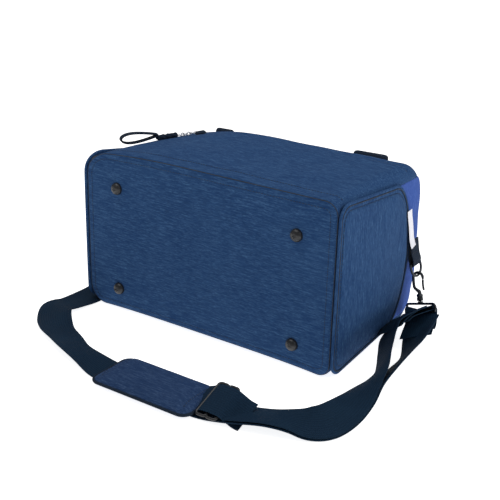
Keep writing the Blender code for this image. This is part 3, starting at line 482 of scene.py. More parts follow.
def evenly(line, count, closed=False):
    line = np.array(line, float)
    if closed:
        line = np.concatenate([line, line[:1]])
    walk = np.concatenate([[0], np.cumsum(np.linalg.norm(np.diff(line, axis=0), axis=1))])
    at = np.linspace(0, walk[-1], count + 1)[:-1] if closed else np.linspace(0, walk[-1], count)
    return np.stack([np.interp(at, walk, line[:, k]) for k in range(line.shape[1])], -1)


def tangents(path, closed=False):
    if closed:
        return unit(np.roll(path, -1, 0) - np.roll(path, 1, 0))
    return unit(np.gradient(path, axis=0))


# frames along a path: the first normal leans to hint, and each later one is the last with the turn taken out
def carriedFrames(path, hint, closed=False):
    way = tangents(path, closed)
    normal = np.zeros_like(path)
    last = np.array(hint, float)
    for k, t in enumerate(way):
        last = last - t * np.dot(last, t)
        last = last / np.linalg.norm(last)
        normal[k] = last
    return way, normal, np.cross(way, normal)


# a profile (across, out) carried along a path: path + across*side + out*up
def sweep(name, path, profile, material, side=None, up=None, hint=(0, 0, 1), closed=False, scale=None,
          **more):
    path = np.array(path, float)
    if side is None:
        _, up, side = carriedFrames(path, hint, closed)
    size = np.ones(len(path)) if scale is None else np.array(scale, float)
    points = (path[:, None] + side[:, None] * (profile[None, :, :1] * size[:, None, None])
              + up[:, None] * (profile[None, :, 1:] * size[:, None, None]))
    return gridPiece(name, points, material, closeI=closed, closeJ=True, capI=not closed, **more)


# round profile of radius r
def roundProfile(r, count=14):
    a = np.arange(count) * 2 * math.pi / count
    return np.stack([r * np.cos(a), r * np.sin(a)], -1)


# flat profile with half-round edges, width w and thickness t, with extra points over the width
def flatProfile(w, t, across=10, edge=5):
    a = np.linspace(-90, 90, edge) * math.pi / 180
    right = np.stack([w / 2 - t / 2 + t / 2 * np.cos(a), t / 2 * np.sin(a)], -1)
    left = np.stack([-w / 2 + t / 2 - t / 2 * np.cos(a), -t / 2 * np.sin(a)], -1)
    x = np.linspace(w / 2 - t / 2, -w / 2 + t / 2, across + 2)[1:-1]
    top = np.stack([x, np.full_like(x, t / 2)], -1)
    low = np.stack([-x, np.full_like(x, -t / 2)], -1)
    return np.concatenate([right, top, left, low])


def arcPoints(cx, cy, rx, ry, start, end, count):
    a = np.linspace(start, end, count) * math.pi / 180
    return np.stack([cx + rx * np.cos(a), cy + ry * np.sin(a)], -1)


# rectangle with its own radius at each corner, anticlockwise from the right: top right, top left, low
# left, low right
def roundedRect(x0, y0, x1, y1, radii, count=9):
    a, b, c, d = radii
    return np.concatenate([arcPoints(x1 - a, y1 - a, a, a, 0, 90, count),
                           arcPoints(x0 + b, y1 - b, b, b, 90, 180, count),
                           arcPoints(x0 + c, y0 + c, c, c, 180, 270, count),
                           arcPoints(x1 - d, y0 + d, d, d, 270, 360, count)])


# one stitch is a small eight-sided spindle; all of them are placed along a path at once
def stitches(name, path, up, body="bag", long=0.0030, gap=0.0014, radius=0.00035, closed=False,
             material="thread"):
    path = np.array(path, float)
    if closed:
        path = np.concatenate([path, path[:1]])
    total = np.linalg.norm(np.diff(path, axis=0), axis=1).sum()
    count = max(int(total / (long + gap)), 2)
    walk = np.concatenate([[0], np.cumsum(np.linalg.norm(np.diff(path, axis=0), axis=1))])
    at = (np.arange(count) + 0.5) * total / count
    mid = np.stack([np.interp(at, walk, path[:, k]) for k in range(3)], -1)
    ahead = np.stack([np.interp(np.minimum(at + 0.0008, total), walk, path[:, k]) for k in range(3)], -1)
    behind = np.stack([np.interp(at - 0.0008, walk, path[:, k]) for k in range(3)], -1)
    way = unit(ahead - behind)
    lift = np.broadcast_to(np.array(up, float), mid.shape)
    side = unit(np.cross(way, lift))
    lift = np.cross(side, way)
    s = np.array([-0.5, -0.32, 0.32, 0.5])
    r = np.array([0.25, 1.0, 1.0, 0.25]) * radius
    a = np.arange(6) * math.pi / 3
    ringPoints = (mid[:, None, None] + way[:, None, None] * (s[None, :, None, None] * long)
                  + side[:, None, None] * (r[None, :, None, None] * np.cos(a)[None, None, :, None])
                  + lift[:, None, None] * (r[None, :, None, None] * np.sin(a)[None, None, :, None]))
    verts = ringPoints.reshape(-1, 3)
    k, j = np.meshgrid(np.arange(3), np.arange(6), indexing="ij")
    quad = np.stack([k * 6 + j, k * 6 + (j + 1) % 6, (k + 1) * 6 + (j + 1) % 6, (k + 1) * 6 + j],
                    -1).reshape(-1, 4)
    ends = np.stack([np.array([0, 5, 4, 3]), np.array([0, 3, 2, 1]), np.array([18, 19, 20, 21]),
                     np.array([18, 21, 22, 23])])
    one = np.concatenate([quad, ends])
    faces = (one[None] + np.arange(count)[:, None, None] * 24).reshape(-1, 4)
    mesh = bpy.data.meshes.new(name)
    mesh.from_pydata(verts.tolist(), [], faces.tolist())
    mesh.uv_layers.new(name="UVMap")
    mesh.materials.append(materials[material])
    return finishPiece(name, mesh, body, sharp=80)


# soft uneven surface: a few sine waves of the given length in fixed directions
def ripple(p, size, seed):
    dice = np.random.default_rng(seed)
    made = np.zeros(p.shape[:-1])
    for _ in range(5):
        way = unit(dice.normal(size=3))
        made += np.sin(p @ way * (2 * math.pi / (size * dice.uniform(0.7, 1.5))) + dice.uniform(0, 6.28))
    return made / 5


# ---- the bag's measures, the same as the frame's ----

bag = {
    "length": 0.420, "depth": 0.246, "height": 0.250, "baseY": -0.15075, "edgeR": 0.020, "slumpR": 0.030,
    "shoulderRise": 0.200, "shoulderIn": 0.045, "shoulderEndIn": 0.015, "openR": 0.004, "gussetRise": 0.150,
    "wall": 0.0026, "baseRound": 0.006, "softR": 0.022, "leftSwell": 0.0030, "lowTuck": 0.0045,
    "swellTo": 0.232, "tuckTo": 0.205,
}
halfLong = bag["length"] / 2
baseY = bag["baseY"]
bagMiddle = (0.0, 0.0, 0.123)


# the soft upper left corner hangs down: (0.010 + 0.11*rise) * left^2.2, fading to nothing below a floor
# height;
# the left end swells a little, and the base's lower edge tucks up off the floor between the corners
def drooped(p):
    p = np.array(p, float)
    rise = np.maximum(p[..., 1] - baseY, 0)
    left = np.clip((-p[..., 0] - 0.030) / 0.180, 0, 1.03)
    floor = 0.206 - 0.036 * np.minimum(rise / 0.1, 1)
    share = np.clip((p[..., 2] - floor) / (0.246 - floor), 0, 1) ** 1.5
    round1 = np.clip(1 - (np.abs(p[..., 2] - 0.118) / 0.116) ** 4, 0, 1)
    near = np.clip(1 - np.abs(rise - 0.10) / 0.16, 0, 1)
    p[..., 0] -= bag["leftSwell"] * left ** 8 * round1 * near * (p[..., 0] > -bag["swellTo"])
    p[..., 2] -= (0.010 + 0.022 * rise / 0.2) * left ** 2.2 * share
    under = np.clip(1 - p[..., 2] / 0.030, 0, 1) * np.clip(1 - rise / 0.07, 0, 1) ** 1.5
    p[..., 2] += bag["lowTuck"] * np.clip(1 - (p[..., 0] / bag["tuckTo"]) ** 4, 0, 1) * under
    return p


# rows round the bag, one for each level: (rise, inset in x, inset in z, corner shrink); anticlockwise
# from the
# right end's upper corner, 12 points a corner, 120 along each long side and 40 down each end
def bagRows(levels):
    rise, inX, inZ, shrink = (np.array(c, float)[:, None] for c in zip(*levels))
    share = np.clip(inZ / bag["shoulderIn"], 0, 1)
    plain = bag["edgeR"] * (1 - share) + bag["openR"] * share
    fade = np.clip(rise / 0.148, 0, 1)
    slump = np.where(share > 0, plain, bag["slumpR"] * (1 - fade) + bag["edgeR"] * fade)
    x1, x0 = halfLong - inX - shrink, -halfLong + inX + shrink
    z1, z0 = bag["depth"] - inZ - shrink, inZ + shrink
    a, b = plain - shrink, slump - shrink
    soft = a + bag["softR"] * np.clip(1 - rise / 0.14, 0, 1) * (share == 0)
    turn = np.linspace(0, math.pi / 2, 12)[None]
    c, s = np.cos(turn), np.sin(turn)
    line = np.linspace(0, 1, 122)[None, 1:-1]
    drop = np.linspace(0, 1, 42)[None, 1:-1]

    def between(p, q, t):
        return p + (q - p) * t

    xs = [x1 - a + a * c, between(x1 - a, x0 + soft, line), x0 + soft - soft * s, x0 + 0 * drop,
          x0 + b - b * c,
          between(x0 + b, x1 - a, line), x1 - a + a * s, x1 + 0 * drop]
    zs = [z1 - a + a * s, z1 + 0 * line, z1 - soft + soft * c, between(z1 - soft, z0 + b, drop),
          z0 + b - b * s,
          z0 + 0 * line, z0 + a - a * c, between(z0 + a, z1 - a, drop)]
    x, z = np.concatenate(xs, 1), np.concatenate(zs, 1)
    y = np.broadcast_to(baseY + rise, x.shape)
    return np.stack([x, y, z], -1)


frontPart = np.arange(0, 144)
leftPart = np.arange(143, 185)
backPart = np.arange(184, 328)
rightPart = np.concatenate([np.arange(327, 368), [0]])


# keeps the part of one row where the test is not negative, and walks it again in even steps
def keepWhere(row, test, count):
    walk = np.concatenate([[0], np.cumsum(np.linalg.norm(np.diff(row, axis=0), axis=1))])
    fine = np.linspace(0, walk[-1], 4000)
    value = np.interp(fine, walk, test)
    good = fine[value >= -1e-6]
    at = np.linspace(good.min(), good.max(), count)
    return np.stack([np.interp(at, walk, row[:, k]) for k in range(3)], -1)


# the mitre that parts a long shoulder from an end gusset: above it is the front, in (x, height)
def overMitre(row):
    return row[:, 2] - (0.226 - (0.21 - np.abs(row[:, 0])) * (0.027 / 0.047))


def roundLevels(start, end, count):
    r = bag["baseRound"]
    a = np.linspace(start, end, count) * math.pi / 180
    return [(r * (1 - math.cos(v)), 0.0, 0.0, r * (1 - math.sin(v))) for v in a]


def shoulderLevels(count):
    a = np.linspace(0, 90, count) * math.pi / 180
    made = [(bag["shoulderRise"] + (bag["height"] - bag["shoulderRise"]) * math.sin(v),
             bag["shoulderEndIn"] * (1 - math.cos(v)), bag["shoulderIn"] * (1 - math.cos(v)), 0.0) for v in a]
    return made + [(bag["height"], bag["shoulderIn"], bag["shoulderIn"] + 0.0005, 0.0)]


# pushes points along an axis by amount, and leaves the edges of the grid where they are
def softened(points, axis, amount, size, seed, edgeI=6, edgeJ=6):
    ni, nj = points.shape[:2]
    wI = np.clip(np.minimum(np.arange(ni), ni - 1 - np.arange(ni)) / edgeI, 0, 1)[:, None]
    wJ = np.clip(np.minimum(np.arange(nj), nj - 1 - np.arange(nj)) / edgeJ, 0, 1)[None]
    points[..., axis] += ripple(points, size, seed) * amount * wI * wJ
    return points


cordValues = {"width": 0.050, "thick": 0.0018, "lift": 0.0036, "steps": 6, "lapStart": 17, "lapEnd": 24}

# (x, rise, height, tilt) from the left ring, round the front of the bag and up to the right ring
strapRoute = [
    (-0.2455, 0.1930, 0.0285, 20), (-0.2410, 0.1580, 0.0130, 20), (-0.2340, 0.1200, 0.0070, 12),
    (-0.2270, 0.0800, 0.0030, 4), (-0.2215, 0.0350, 0.0016, 0), (-0.2205, -0.0020, 0.0016, 0),
    (-0.2215, -0.0320, 0.0036, -3), (-0.2245, -0.0560, 0.0060, -2), (-0.2077, -0.0811, 0.0065, -6),
    (-0.1759, -0.1087, 0.0067, 8), (-0.1430, -0.1252, 0.0077, 13), (-0.1113, -0.1407, 0.0087, 17),
    (-0.0740, -0.1490, 0.0050, 10), (-0.0400, -0.1560, 0.0016, 0), (0.0000, -0.1580, 0.0016, 0),
    (0.0700, -0.1580, 0.0016, 0), (0.1250, -0.1570, 0.0016, 0), (0.1600, -0.1535, 0.0040, 5),
    (0.2061, -0.1416, 0.0090, 9), (0.2356, -0.1309, 0.0102, -1), (0.2568, -0.1226, 0.0107, -20),
    (0.2700, -0.1089, 0.0115, -23), (0.2765, -0.0832, 0.0127, -13), (0.2774, -0.0513, 0.0141, 6),
    (0.2750, -0.0153, 0.0161, 28), (0.2766, 0.0263, 0.0184, 43), (0.2767, 0.0710, 0.0205, 50),
    (0.2749, 0.1125, 0.0221, 51), (0.2620, 0.1560, 0.0250, 36), (0.2500, 0.1960, 0.0300, 20),
]
returnRoute = [
    (0.2725, 0.0128, 0.0240, 47), (0.2669, 0.0401, 0.0278, 64), (0.2579, 0.0646, 0.0301, 65),
    (0.2463, 0.0933, 0.0327, 61), (0.2344, 0.1318, 0.0345, 53), (0.2380, 0.1925, 0.0385, 35),
]


# centre, direction across and direction out of a lying strap whose route points are (x, rise, height, tilt)
def lyingStations(route, steps):
    rows = smoothCurve(route, steps)
    centre = np.stack([rows[:, 0], baseY + rows[:, 1], rows[:, 2]], -1)
    ahead = unit(np.concatenate([centre[1:2] - centre[:1], centre[2:] - centre[:-2],
                                 centre[-1:] - centre[-2:-1]]))
    side = unit(np.cross(ahead, (0, 0, 1)))
    over = np.cross(side, ahead)
    tilt = np.radians(rows[:, 3])[:, None]
    across = side * np.cos(tilt) + over * np.sin(tilt)
    return centre, across, np.cross(ahead, across)


def lengthOf(path):
    return float(np.linalg.norm(np.diff(path, axis=0), axis=1).sum())


def strapPieces():
    v = cordValues
    centre, across, out = lyingStations(strapRoute, v["steps"])
    strap = sweep("strapBand", centre, flatProfile(v["width"], v["thick"]), "strap", across, -out,
                  replaces=("shoulder_strap",), slot="strap")
    first, last = v["steps"] * v["lapStart"], v["steps"] * v["lapEnd"]
    lapped = centre[first:last] - out[first:last] * v["lift"]
    lead = []
    for k in (v["lapEnd"] - 1, v["lapEnd"]):
        spot = centre[v["steps"] * k] - out[v["steps"] * k] * v["lift"]
        lead.append((spot[0], spot[1] - baseY, spot[2], strapRoute[k][3]))
    free = [part[v["steps"]:] for part in lyingStations(lead + returnRoute, v["steps"])]
    path = np.concatenate([lapped, free[0]])
    sides = np.concatenate([across[first:last], free[1]])
    outs = np.concatenate([out[first:last], free[2]])
    back = sweep("strapReturnBand", path, flatProfile(v["width"] - 0.002, v["thick"]), "strap", sides, -outs,
                 replaces=("strap_return",), slot="strap")
    edges = []
    for shift in (-1, 1):
        edges.append(stitches(f"strapStitches{'Left' if shift < 0 else 'Right'}",
                              centre[::2] + across[::2] * (shift * 0.0205) - out[::2] * (v["thick"] / 2 + 0.0001),
                              (0, 0, 1), long=0.0022, gap=0.0030, radius=0.0003))
    return strap, (centre, across, out), back, (path, sides, outs), edges


strapBand, strapFrames, strapBack, backFrames, strapEdges = strapPieces()
strapPath, strapAcross, strapOut = strapFrames
backPath, backAcross, backOut = backFrames
print("strap", round(lengthOf(strapPath), 4), "return", round(lengthOf(backPath), 4))

# ---- base, long sides, ends ----


def baseSkin():
    tuck = [(rise, 0.0, 0.0, shrink + 0.0009) for rise, _, _, shrink in roundLevels(58, 90, 4)]
    edge = bagRows(roundLevels(0, 50, 7) + tuck + [(0.016, 0.0, 0.0, 0.0009)])
    r = np.linspace(0, 1, 34)[:, None, None]
    middle = np.array((0.0, baseY, 0.123))
    inner = middle + (edge[0][None] - middle) * r
    points = np.concatenate([inner[:-1], edge])
    height = np.clip(1 - ((points[..., 0] / 0.20) ** 4 + ((points[..., 2] - 0.123) / 0.117) ** 4), 0, 1)
    points[..., 1] -= 0.0008 * height * (1 + 0.7 * ripple(points, 0.11, 4))
    points = drooped(points)
    gridPiece("baseSkin", points, "heatherLong", closeJ=True, wall=bag["wall"], inside=bagMiddle,
              replaces=("base_panel",), slot="heather")
    seam = drooped(bagRows(roundLevels(50, 50, 1)))[0]
    path = evenly(seam, 420, closed=True)
    sweep("baseSeam", path, roundProfile(0.0006, 8), "thread", hint=(0, -1, 0), closed=True)
    line = drooped(bagRows([(0.0, 0.0, 0.0, 0.0105)]))[0]
    line[:, 1] = baseY - 0.0002
    stitches("baseStitches", evenly(line, 400, closed=True), (0, -1, 0), closed=True)


def longSideLevels():
    plain = [(float(v), 0.0, 0.0, 0.0) for v in np.concatenate([np.linspace(0.008, 0.188, 30),
                                                                np.linspace(0.191, 0.1985, 6)])]
    return roundLevels(50, 90, 6) + plain, shoulderLevels(16)


# front long side: one sagging skin from the base seam to the roof, with a sewn crease where the roof begins
def frontSkin():
    low, high = longSideLevels()
    rows = bagRows(low + high)
    points = np.stack([keepWhere(np.concatenate([row[rightPart[10:-1]], row[frontPart],
                                                 row[leftPart[1:-10]]]),
                                 overMitre(np.concatenate([row[rightPart[10:-1]], row[frontPart],
                                                           row[leftPart[1:-10]]])), 200) for row in rows])
    rise = points[..., 1] - baseY
    across = np.clip(1 - (points[..., 0] / 0.19) ** 4, 0, 1)
    puff = np.sin(np.clip(rise / 0.2, 0, 1) * math.pi) ** 0.6 * 0.0022
    points[..., 2] += puff * across * (rise < 0.2)
    crease = np.exp(-((rise - 0.199) / 0.0022) ** 2)
    points[..., 2] -= crease * 0.0011 * (points[..., 2] > 0.2)
    points = softened(points, 2, 0.0011, 0.075, 11)
    points = drooped(points)
    gridPiece("frontSkin", points, "heatherLong", wall=bag["wall"], inside=bagMiddle,
              replaces=("front_panel", "front_shoulder"), slot="heather")
    seamRow = len(low)
    line = points[seamRow, 6:-6]
    stitches("creaseStitches", line + np.array((0, -0.0028, 0.0004)), (0, 0, 1))
    stitches("frontStitches", points[9, 8:-8] + np.array((0, -0.003, 0.0003)), (0, 0, 1))
    return points


# back long side: flat on what the bag lies on, otherwise the same skin
def backSkin():
    low, high = longSideLevels()
    rows = bagRows(low + high)
    rows[..., 2] = bag["depth"] - rows[..., 2]
    whole = np.concatenate([rows[:, leftPart[-11:-1]], rows[:, backPart], rows[:, rightPart[1:11]]], 1)
    points = np.stack([keepWhere(row, overMitre(row), 200) for row in whole])
    points[..., 2] = bag["depth"] - points[..., 2]
    rise = points[..., 1] - baseY
    crease = np.exp(-((rise - 0.199) / 0.0022) ** 2)
    points[..., 2] += crease * 0.0011 * (points[..., 2] < 0.03)
    points = drooped(softened(points, 1, 0.0008, 0.075, 12))
    gridPiece("backSkin", points, "heatherLong", wall=bag["wall"], inside=bagMiddle,
              replaces=("back_panel", "back_shoulder"), slot="heather")


# end gusset: plain royal cloth behind the end panel, rounding in to the roof between the two mitres
def gussetSkin(side, word):
    plain = [(float(v), 0.0, 0.0, 0.0) for v in np.linspace(0.150, 0.199, 10)]
    rows = bagRows(plain + shoulderLevels(16))
    top = frontPart[:40] if side > 0 else frontPart[-40:]
    low = backPart[-40:] if side > 0 else backPart[:40]
    end = rightPart[1:-1] if side > 0 else leftPart[1:-1]
    order = np.concatenate([low, end, top]) if side > 0 else np.concatenate([top, end, low])
    kept = []
    for row in rows[:, order]:
        flipped = row.copy()
        flipped[:, 2] = bag["depth"] - flipped[:, 2]
        kept.append(keepWhere(row, np.minimum(-overMitre(row), -overMitre(flipped)) - 0.0002, 90))
    points = softened(np.stack(kept), 0, 0.0012 * side, 0.06, 21)
    rise = points[..., 1] - baseY
    full = np.clip(1 - ((points[..., 2] - 0.123) / 0.105) ** 4, 0, 1) * np.clip((rise - 0.19) / 0.05, 0, 1)
    full *= np.clip((np.abs(points[..., 0]) - 0.166) / 0.020, 0, 1)
    points[..., 1] += 0.0060 * full
    points[..., 0] += side * 0.0035 * full
    if side < 0:
        points = drooped(points)
    gridPiece(f"{word}GussetSkin", points, "royal", wall=bag["wall"], inside=bagMiddle,
              replaces=(f"{word}_end_gusset",), slot="royal")


endValues = {"base": 0.002, "half": 0.117, "arch": 0.055, "corner": 0.018, "thick": 0.0050, "crown": 0.0060,
             "piping": 0.0021}


def endOutline(grow=0.0, count=260, upper=0.018):
    v = endValues
    low = baseY + v["base"] - grow
    half = v["half"] + grow
    r = v["corner"] + grow
    arch = arcPoints(baseY + bag["gussetRise"], 0.123, v["arch"] + grow, half - 0.011, -90, 90, 60)
    u = upper + grow
    one = arcPoints(low + u, 0.123 + half - u, u, u, 90, 180, 16)
    two = arcPoints(low + r, 0.123 - half + r, r, r, 180, 270, 16)
    return evenly(np.concatenate([arch, one, two]), count, closed=True)


# end panel: a padded, crowned closed form. r runs from its middle (0) to its edge (1);
# it stands out from the gusset by thick*(1-r^10)^0.5 + crown*(1-r^2)^1.4, fuller low down at the right end
def endPanel(side, word):
    v = endValues
    upper = 0.036 if side < 0 else v["corner"]
    outline = endOutline(upper=upper)
    middle = np.array((baseY + 0.100, 0.123))
    r = np.concatenate([np.linspace(0, 0.9, 30), np.linspace(0.92, 1.0, 9)])
    flat = middle + (outline[None] - middle) * r[:, None, None]
    rr = r[:, None]
    low = np.exp(-(((flat[..., 0] - baseY - 0.070) / 0.07) ** 2 + ((flat[..., 1] - 0.075) / 0.06) ** 2))
    calm = np.clip((flat[..., 1] - 0.012) / 0.04, 0, 1) if side < 0 else 1.0
    swell = v["crown"] * (1 - rr ** 2) ** 1.1 * calm * (1 + 0.35 * low) * (1.5 if side < 0 else 1.0)
    seam = np.exp(-((rr - 0.935) / 0.012) ** 2) * 0.0011
    stand = 0.0006 + (v["thick"] - 0.0006) * np.sqrt(np.clip(1 - rr ** 14, 0, 1)) + swell - seam
    wave = ripple(np.stack([0 * flat[..., 0], flat[..., 0], flat[..., 1]], -1), 0.06,
                  31) * 0.0010 * (1 - rr ** 4)
    front = np.stack([side * (halfLong + 0.0003 + stand + wave), flat[..., 0], flat[..., 1]], -1)
    rear = np.stack([side * (halfLong + 0.0003 + 0 * flat[::-1][..., 0]), flat[::-1][..., 0],
                     flat[::-1][..., 1]], -1)
    points = np.concatenate([front, rear[::4]])
    pipe = endOutline(0.0004, upper=upper)
    pipe = np.stack([np.full(len(pipe), side * (halfLong + 0.0028)), pipe[:, 0], pipe[:, 1]], -1)
    inner = np.argmin(np.abs(r - 0.935))
    thread = front[inner] + np.array((side * 0.0004, 0, 0))
    if side < 0:
        points, pipe, thread = drooped(points), drooped(pipe), drooped(thread)
    panel = gridPiece(f"{word}EndPadding", points, "heatherEnd", closeJ=True,
                      replaces=(f"{word}_end_panel",), slot="heather")
    sweep(f"{word}Piping", pipe, roundProfile(v["piping"], 10), "heatherEnd", hint=(side, 0, 0), closed=True)
    rim = pipe + np.array((side * 0.0016, 0, 0))
    sweep(f"{word}PipingSeam", rim - unit(pipe - pipe.mean(0)) * 0.0026, roundProfile(0.0006, 8), "thread",
          hint=(side, 0, 0), closed=True)
    stitches(f"{word}EndStitches", thread, (side, 0, 0), closed=True)


baseSkin()
frontPoints = frontSkin()
backSkin()
for endSide, endWord in ((1, "right"), (-1, "left")):
    gussetSkin(endSide, endWord)
    endPanel(endSide, endWord)
print("skins ready")

# ---- roof: strip, flap, net window, zip ----

roofValues = {"face": 0.247, "rim": 0.0009, "strip": 0.036, "zipR": 0.020, "tape": 0.006, "gap": 0.0003,
              "border": 0.020}


# a flat ring between two outlines (x, height), round-edged in section
def flatRing(name, outer, inner, y0, y1, material, body, droop=False, **more):
    t = (y1 - y0) / 2
    mid = (y0 + y1) / 2
    across = np.concatenate([np.linspace(0.0, 1.0, 7), np.linspace(1.0, 0.0, 7)])
    lift = np.concatenate([np.array([0.2, 1, 1, 1, 1, 1, 0.2]), -np.array([0.2, 1, 1, 1, 1, 1, 0.2])])
    wide = inner[None] + (outer - inner)[None] * across[:, None, None]
    points = np.stack([wide[..., 0], np.broadcast_to((mid + t * lift)[:, None], wide.shape[:2]),
                       wide[..., 1]], -1)
    if droop:
        points = drooped(points)
    return gridPiece(name, points, material, body=body, closeI=True, closeJ=True, **more)


# a flat sheet inside one outline, swollen by lift in its middle
def flatDisc(name, outline, centre, y0, y1, material, body, lift=0.0, droop=False, wave=0.0, **more):
    r = np.concatenate([np.linspace(0, 0.96, 16), [0.985, 1.0]])
    flat = np.array(centre) + (outline[None] - np.array(centre)) * r[:, None, None]
    rr = r[:, None]
    edge = np.sqrt(np.clip(1 - rr ** 24, 0, 1))
    mid, half = (y0 + y1) / 2, (y1 - y0) / 2
    bump = lift * (1 - rr ** 2) + wave * ripple(np.stack([flat[..., 0], 0 * flat[..., 0], flat[..., 1]],
                                                         -1), 0.05, 7) * (1 - rr ** 6)
    top = np.stack([flat[..., 0], mid + half * edge + bump, flat[..., 1]], -1)
    low = np.stack([flat[..., 0], mid - half * edge + bump, flat[..., 1]], -1)
    points = np.concatenate([top, low[::-1]])
    if droop:
        points = drooped(points)
    return gridPiece(name, points, material, body=body, closeJ=True, **more)


def uShape(half, low, high, r, count=240):
    line = np.concatenate([[(half, low)], arcPoints(half - r, high - r, r, r, 0, 90, 20),
                           arcPoints(-half + r, high - r, r, r, 90, 180, 20), [(-half, low)]])
    return evenly(line, count)


def roofPieces():
    v = roofValues
    face = baseY + v["face"]
    right = halfLong - bag["shoulderIn"] - v["rim"]
    bottom = bag["shoulderIn"] + bag["openR"] + v["rim"]
    top = bag["depth"] - bag["shoulderIn"] - v["rim"]
    stripLow = top - v["strip"]
    strip = evenly(roundedRect(-right, stripLow, right, top, (0.024, 0.024, 0.001, 0.001)), 300, closed=True)
    flatDisc("roofStripSkin", strip, (0, (stripLow + top) / 2), face + 0.0003, face + 0.0026,
             "heatherLong", "bag",
             droop=True, replaces=("roof_strip",), slot="heather")
    line = evenly(np.array([(-right + 0.004, stripLow + 0.004), (right - 0.004, stripLow + 0.004)]), 60)
    stitches("stripStitches", np.stack([line[:, 0], np.full(60, face + 0.0028), line[:, 1]], -1), (0, 1, 0))
    zipTop = stripLow - v["gap"]
    tape, gap = v["tape"], v["gap"]
    for name, body, inset, node in (("zipTapeBody", "bag", 0.0, "zip_tape_body"),
                                    ("zipTapeFlap", "flap", tape + gap, "zip_tape_flap")):
        path = uShape(right - inset - tape / 2, bottom, zipTop - inset - tape / 2,
                      v["zipR"] - inset - tape / 2)
        path3 = np.stack([path[:, 0], np.full(len(path), face + 0.0013), path[:, 1]], -1)
        way = tangents(path3)
        up = np.broadcast_to(np.array((0.0, 1.0, 0.0)), way.shape)
        side = np.cross(way, up)
        sweep(name, path3, flatProfile(tape - 0.0002, 0.0014, 6), "webbing", side, up, body=body,
              replaces=(node,), slot="webbing")
        teeth(f"{name}Teeth", path3, way, side, up, body, 1 if inset else -1)
    inset = 2 * (tape + gap)
    half, high, r = right - inset, zipTop - inset, v["zipR"] - inset
    outer = evenly(roundedRect(-half, bottom, half, high, (r, r, 0.0012, 0.0012)), 320, closed=True)
    edge = v["border"]
    inner = evenly(roundedRect(-half + edge, bottom + edge, half - edge, high - edge, (0.012,) * 4),
                   320, closed=True)
    flatRing("roofFlapFrame", outer, inner, face + 0.0003, face + 0.0027, "heatherLong", "flap",
             replaces=("roof_flap",), slot="heather")
    for name, grow in (("flapStitchesInner", 0.003), ("flapStitchesOuter", edge - 0.003)):
        line = evenly(roundedRect(-half + edge - grow, bottom + edge - grow, half - edge + grow,
                                  high - edge + grow,
                                  (0.012,) * 4), 200, closed=True)
        stitches(name, np.stack([line[:, 0], np.full(200, face + 0.0028), line[:, 1]], -1), (0, 1, 0),
                 body="flap",
                 closed=True)
    trim = evenly(roundedRect(-half + edge - 0.001, bottom + edge - 0.001, half - edge + 0.001,
                              high - edge + 0.001,
                              (0.012,) * 4), 260, closed=True)
    sweep("windowBinding", np.stack([trim[:, 0], np.full(260, face + 0.0015), trim[:, 1]], -1),
          flatProfile(0.0030, 0.0030, 3), "webbing", hint=(0, 1, 0), closed=True, body="flap")
    flatDisc("roofNet", inner, (0, (bottom + high) / 2), face + 0.0011, face + 0.0019, "net", "flap",
             wave=0.0004,
             replaces=("roof_mesh",), slot="mesh")


# zip teeth: small bevelled blocks 2.2 mm apart on the facing edges of the two tapes
def teeth(name, path, way, side, up, body, facing):
    walk = np.concatenate([[0], np.cumsum(np.linalg.norm(np.diff(path, axis=0), axis=1))])
    at = np.arange(0.004, walk[-1] - 0.004, 0.0022) + (0.0011 if facing > 0 else 0.0)

    def along(values):
        return np.stack([np.interp(at, walk, values[:, k]) for k in range(3)], -1)

    mid, ahead, across, top = along(path), unit(along(way)), unit(along(side)), unit(along(up))
    corner = np.array([(a, b, c) for c in (0.0, 1.0) for a, b in ((-1, -1), (1, -1), (1, 1), (-1, 1))], float)
    size = np.where(corner[:, 2:] > 0, 0.55, 1.0)
    local = np.concatenate([corner[:, :1] * 0.0006 * size, corner[:, 1:2] * 0.0011 * size,
                            corner[:, 2:] * 0.0008], 1)
    seat = mid + across * (0.0018 * facing) + top * 0.0007
    verts = (seat[:, None] + ahead[:, None] * local[None, :, :1] + across[:, None] * local[None, :, 1:2]
             + top[:, None] * local[None, :, 2:])
    one = np.array([(0, 3, 2, 1), (4, 5, 6, 7), (0, 1, 5, 4), (1, 2, 6, 5), (2, 3, 7, 6), (3, 0, 4, 7)])
    faces = (one[None] + np.arange(len(at))[:, None, None] * 8).reshape(-1, 4)
    mesh = bpy.data.meshes.new(name)
    mesh.from_pydata(verts.reshape(-1, 3).tolist(), [], faces.tolist())
    mesh.uv_layers.new(name="UVMap")
    mesh.materials.append(materials["plastic"])
    finishPiece(name, mesh, body, sharp=30)


roofPieces()
print("roof ready")

# ---- handles ----

handleValues = {"width": 0.025, "thick": 0.0036, "span": 0.137, "frontDrop": 0.050, "backDrop": 0.0702,
                "leanTurn": math.radians(1.5), "leanLow": 0.0035, "lugR": 0.006, "lugInner": 0.040,
                "lugOuter": 0.016}
frontDropLine = [(0.2438, 0.2360), (0.2496, 0.2290), (0.2546, 0.2180), (0.2572, 0.2060), (0.2580, 0.1740)]
backDropLine = [(0.2399, 0.0086), (0.2500, 0.0064), (0.2600, 0.0040), (0.2750, 0.0027), (0.3150, 0.0024)]


# the front handle's hinge line leans with the drooping edge: lowered by leanLow and turned about its middle
def leaned(p, line):
    v = handleValues
    hinge = np.array((0.0, baseY + line[0][0], line[0][1]))
    c, s = math.cos(v["leanTurn"]), math.sin(v["leanTurn"])
    q = p - hinge
    turned = np.stack([q[..., 0] * c - q[..., 2] * s, q[..., 1], q[..., 0] * s + q[..., 2] * c], -1)
    return turned + hinge - np.array((0.0, 0.0, v["leanLow"]))


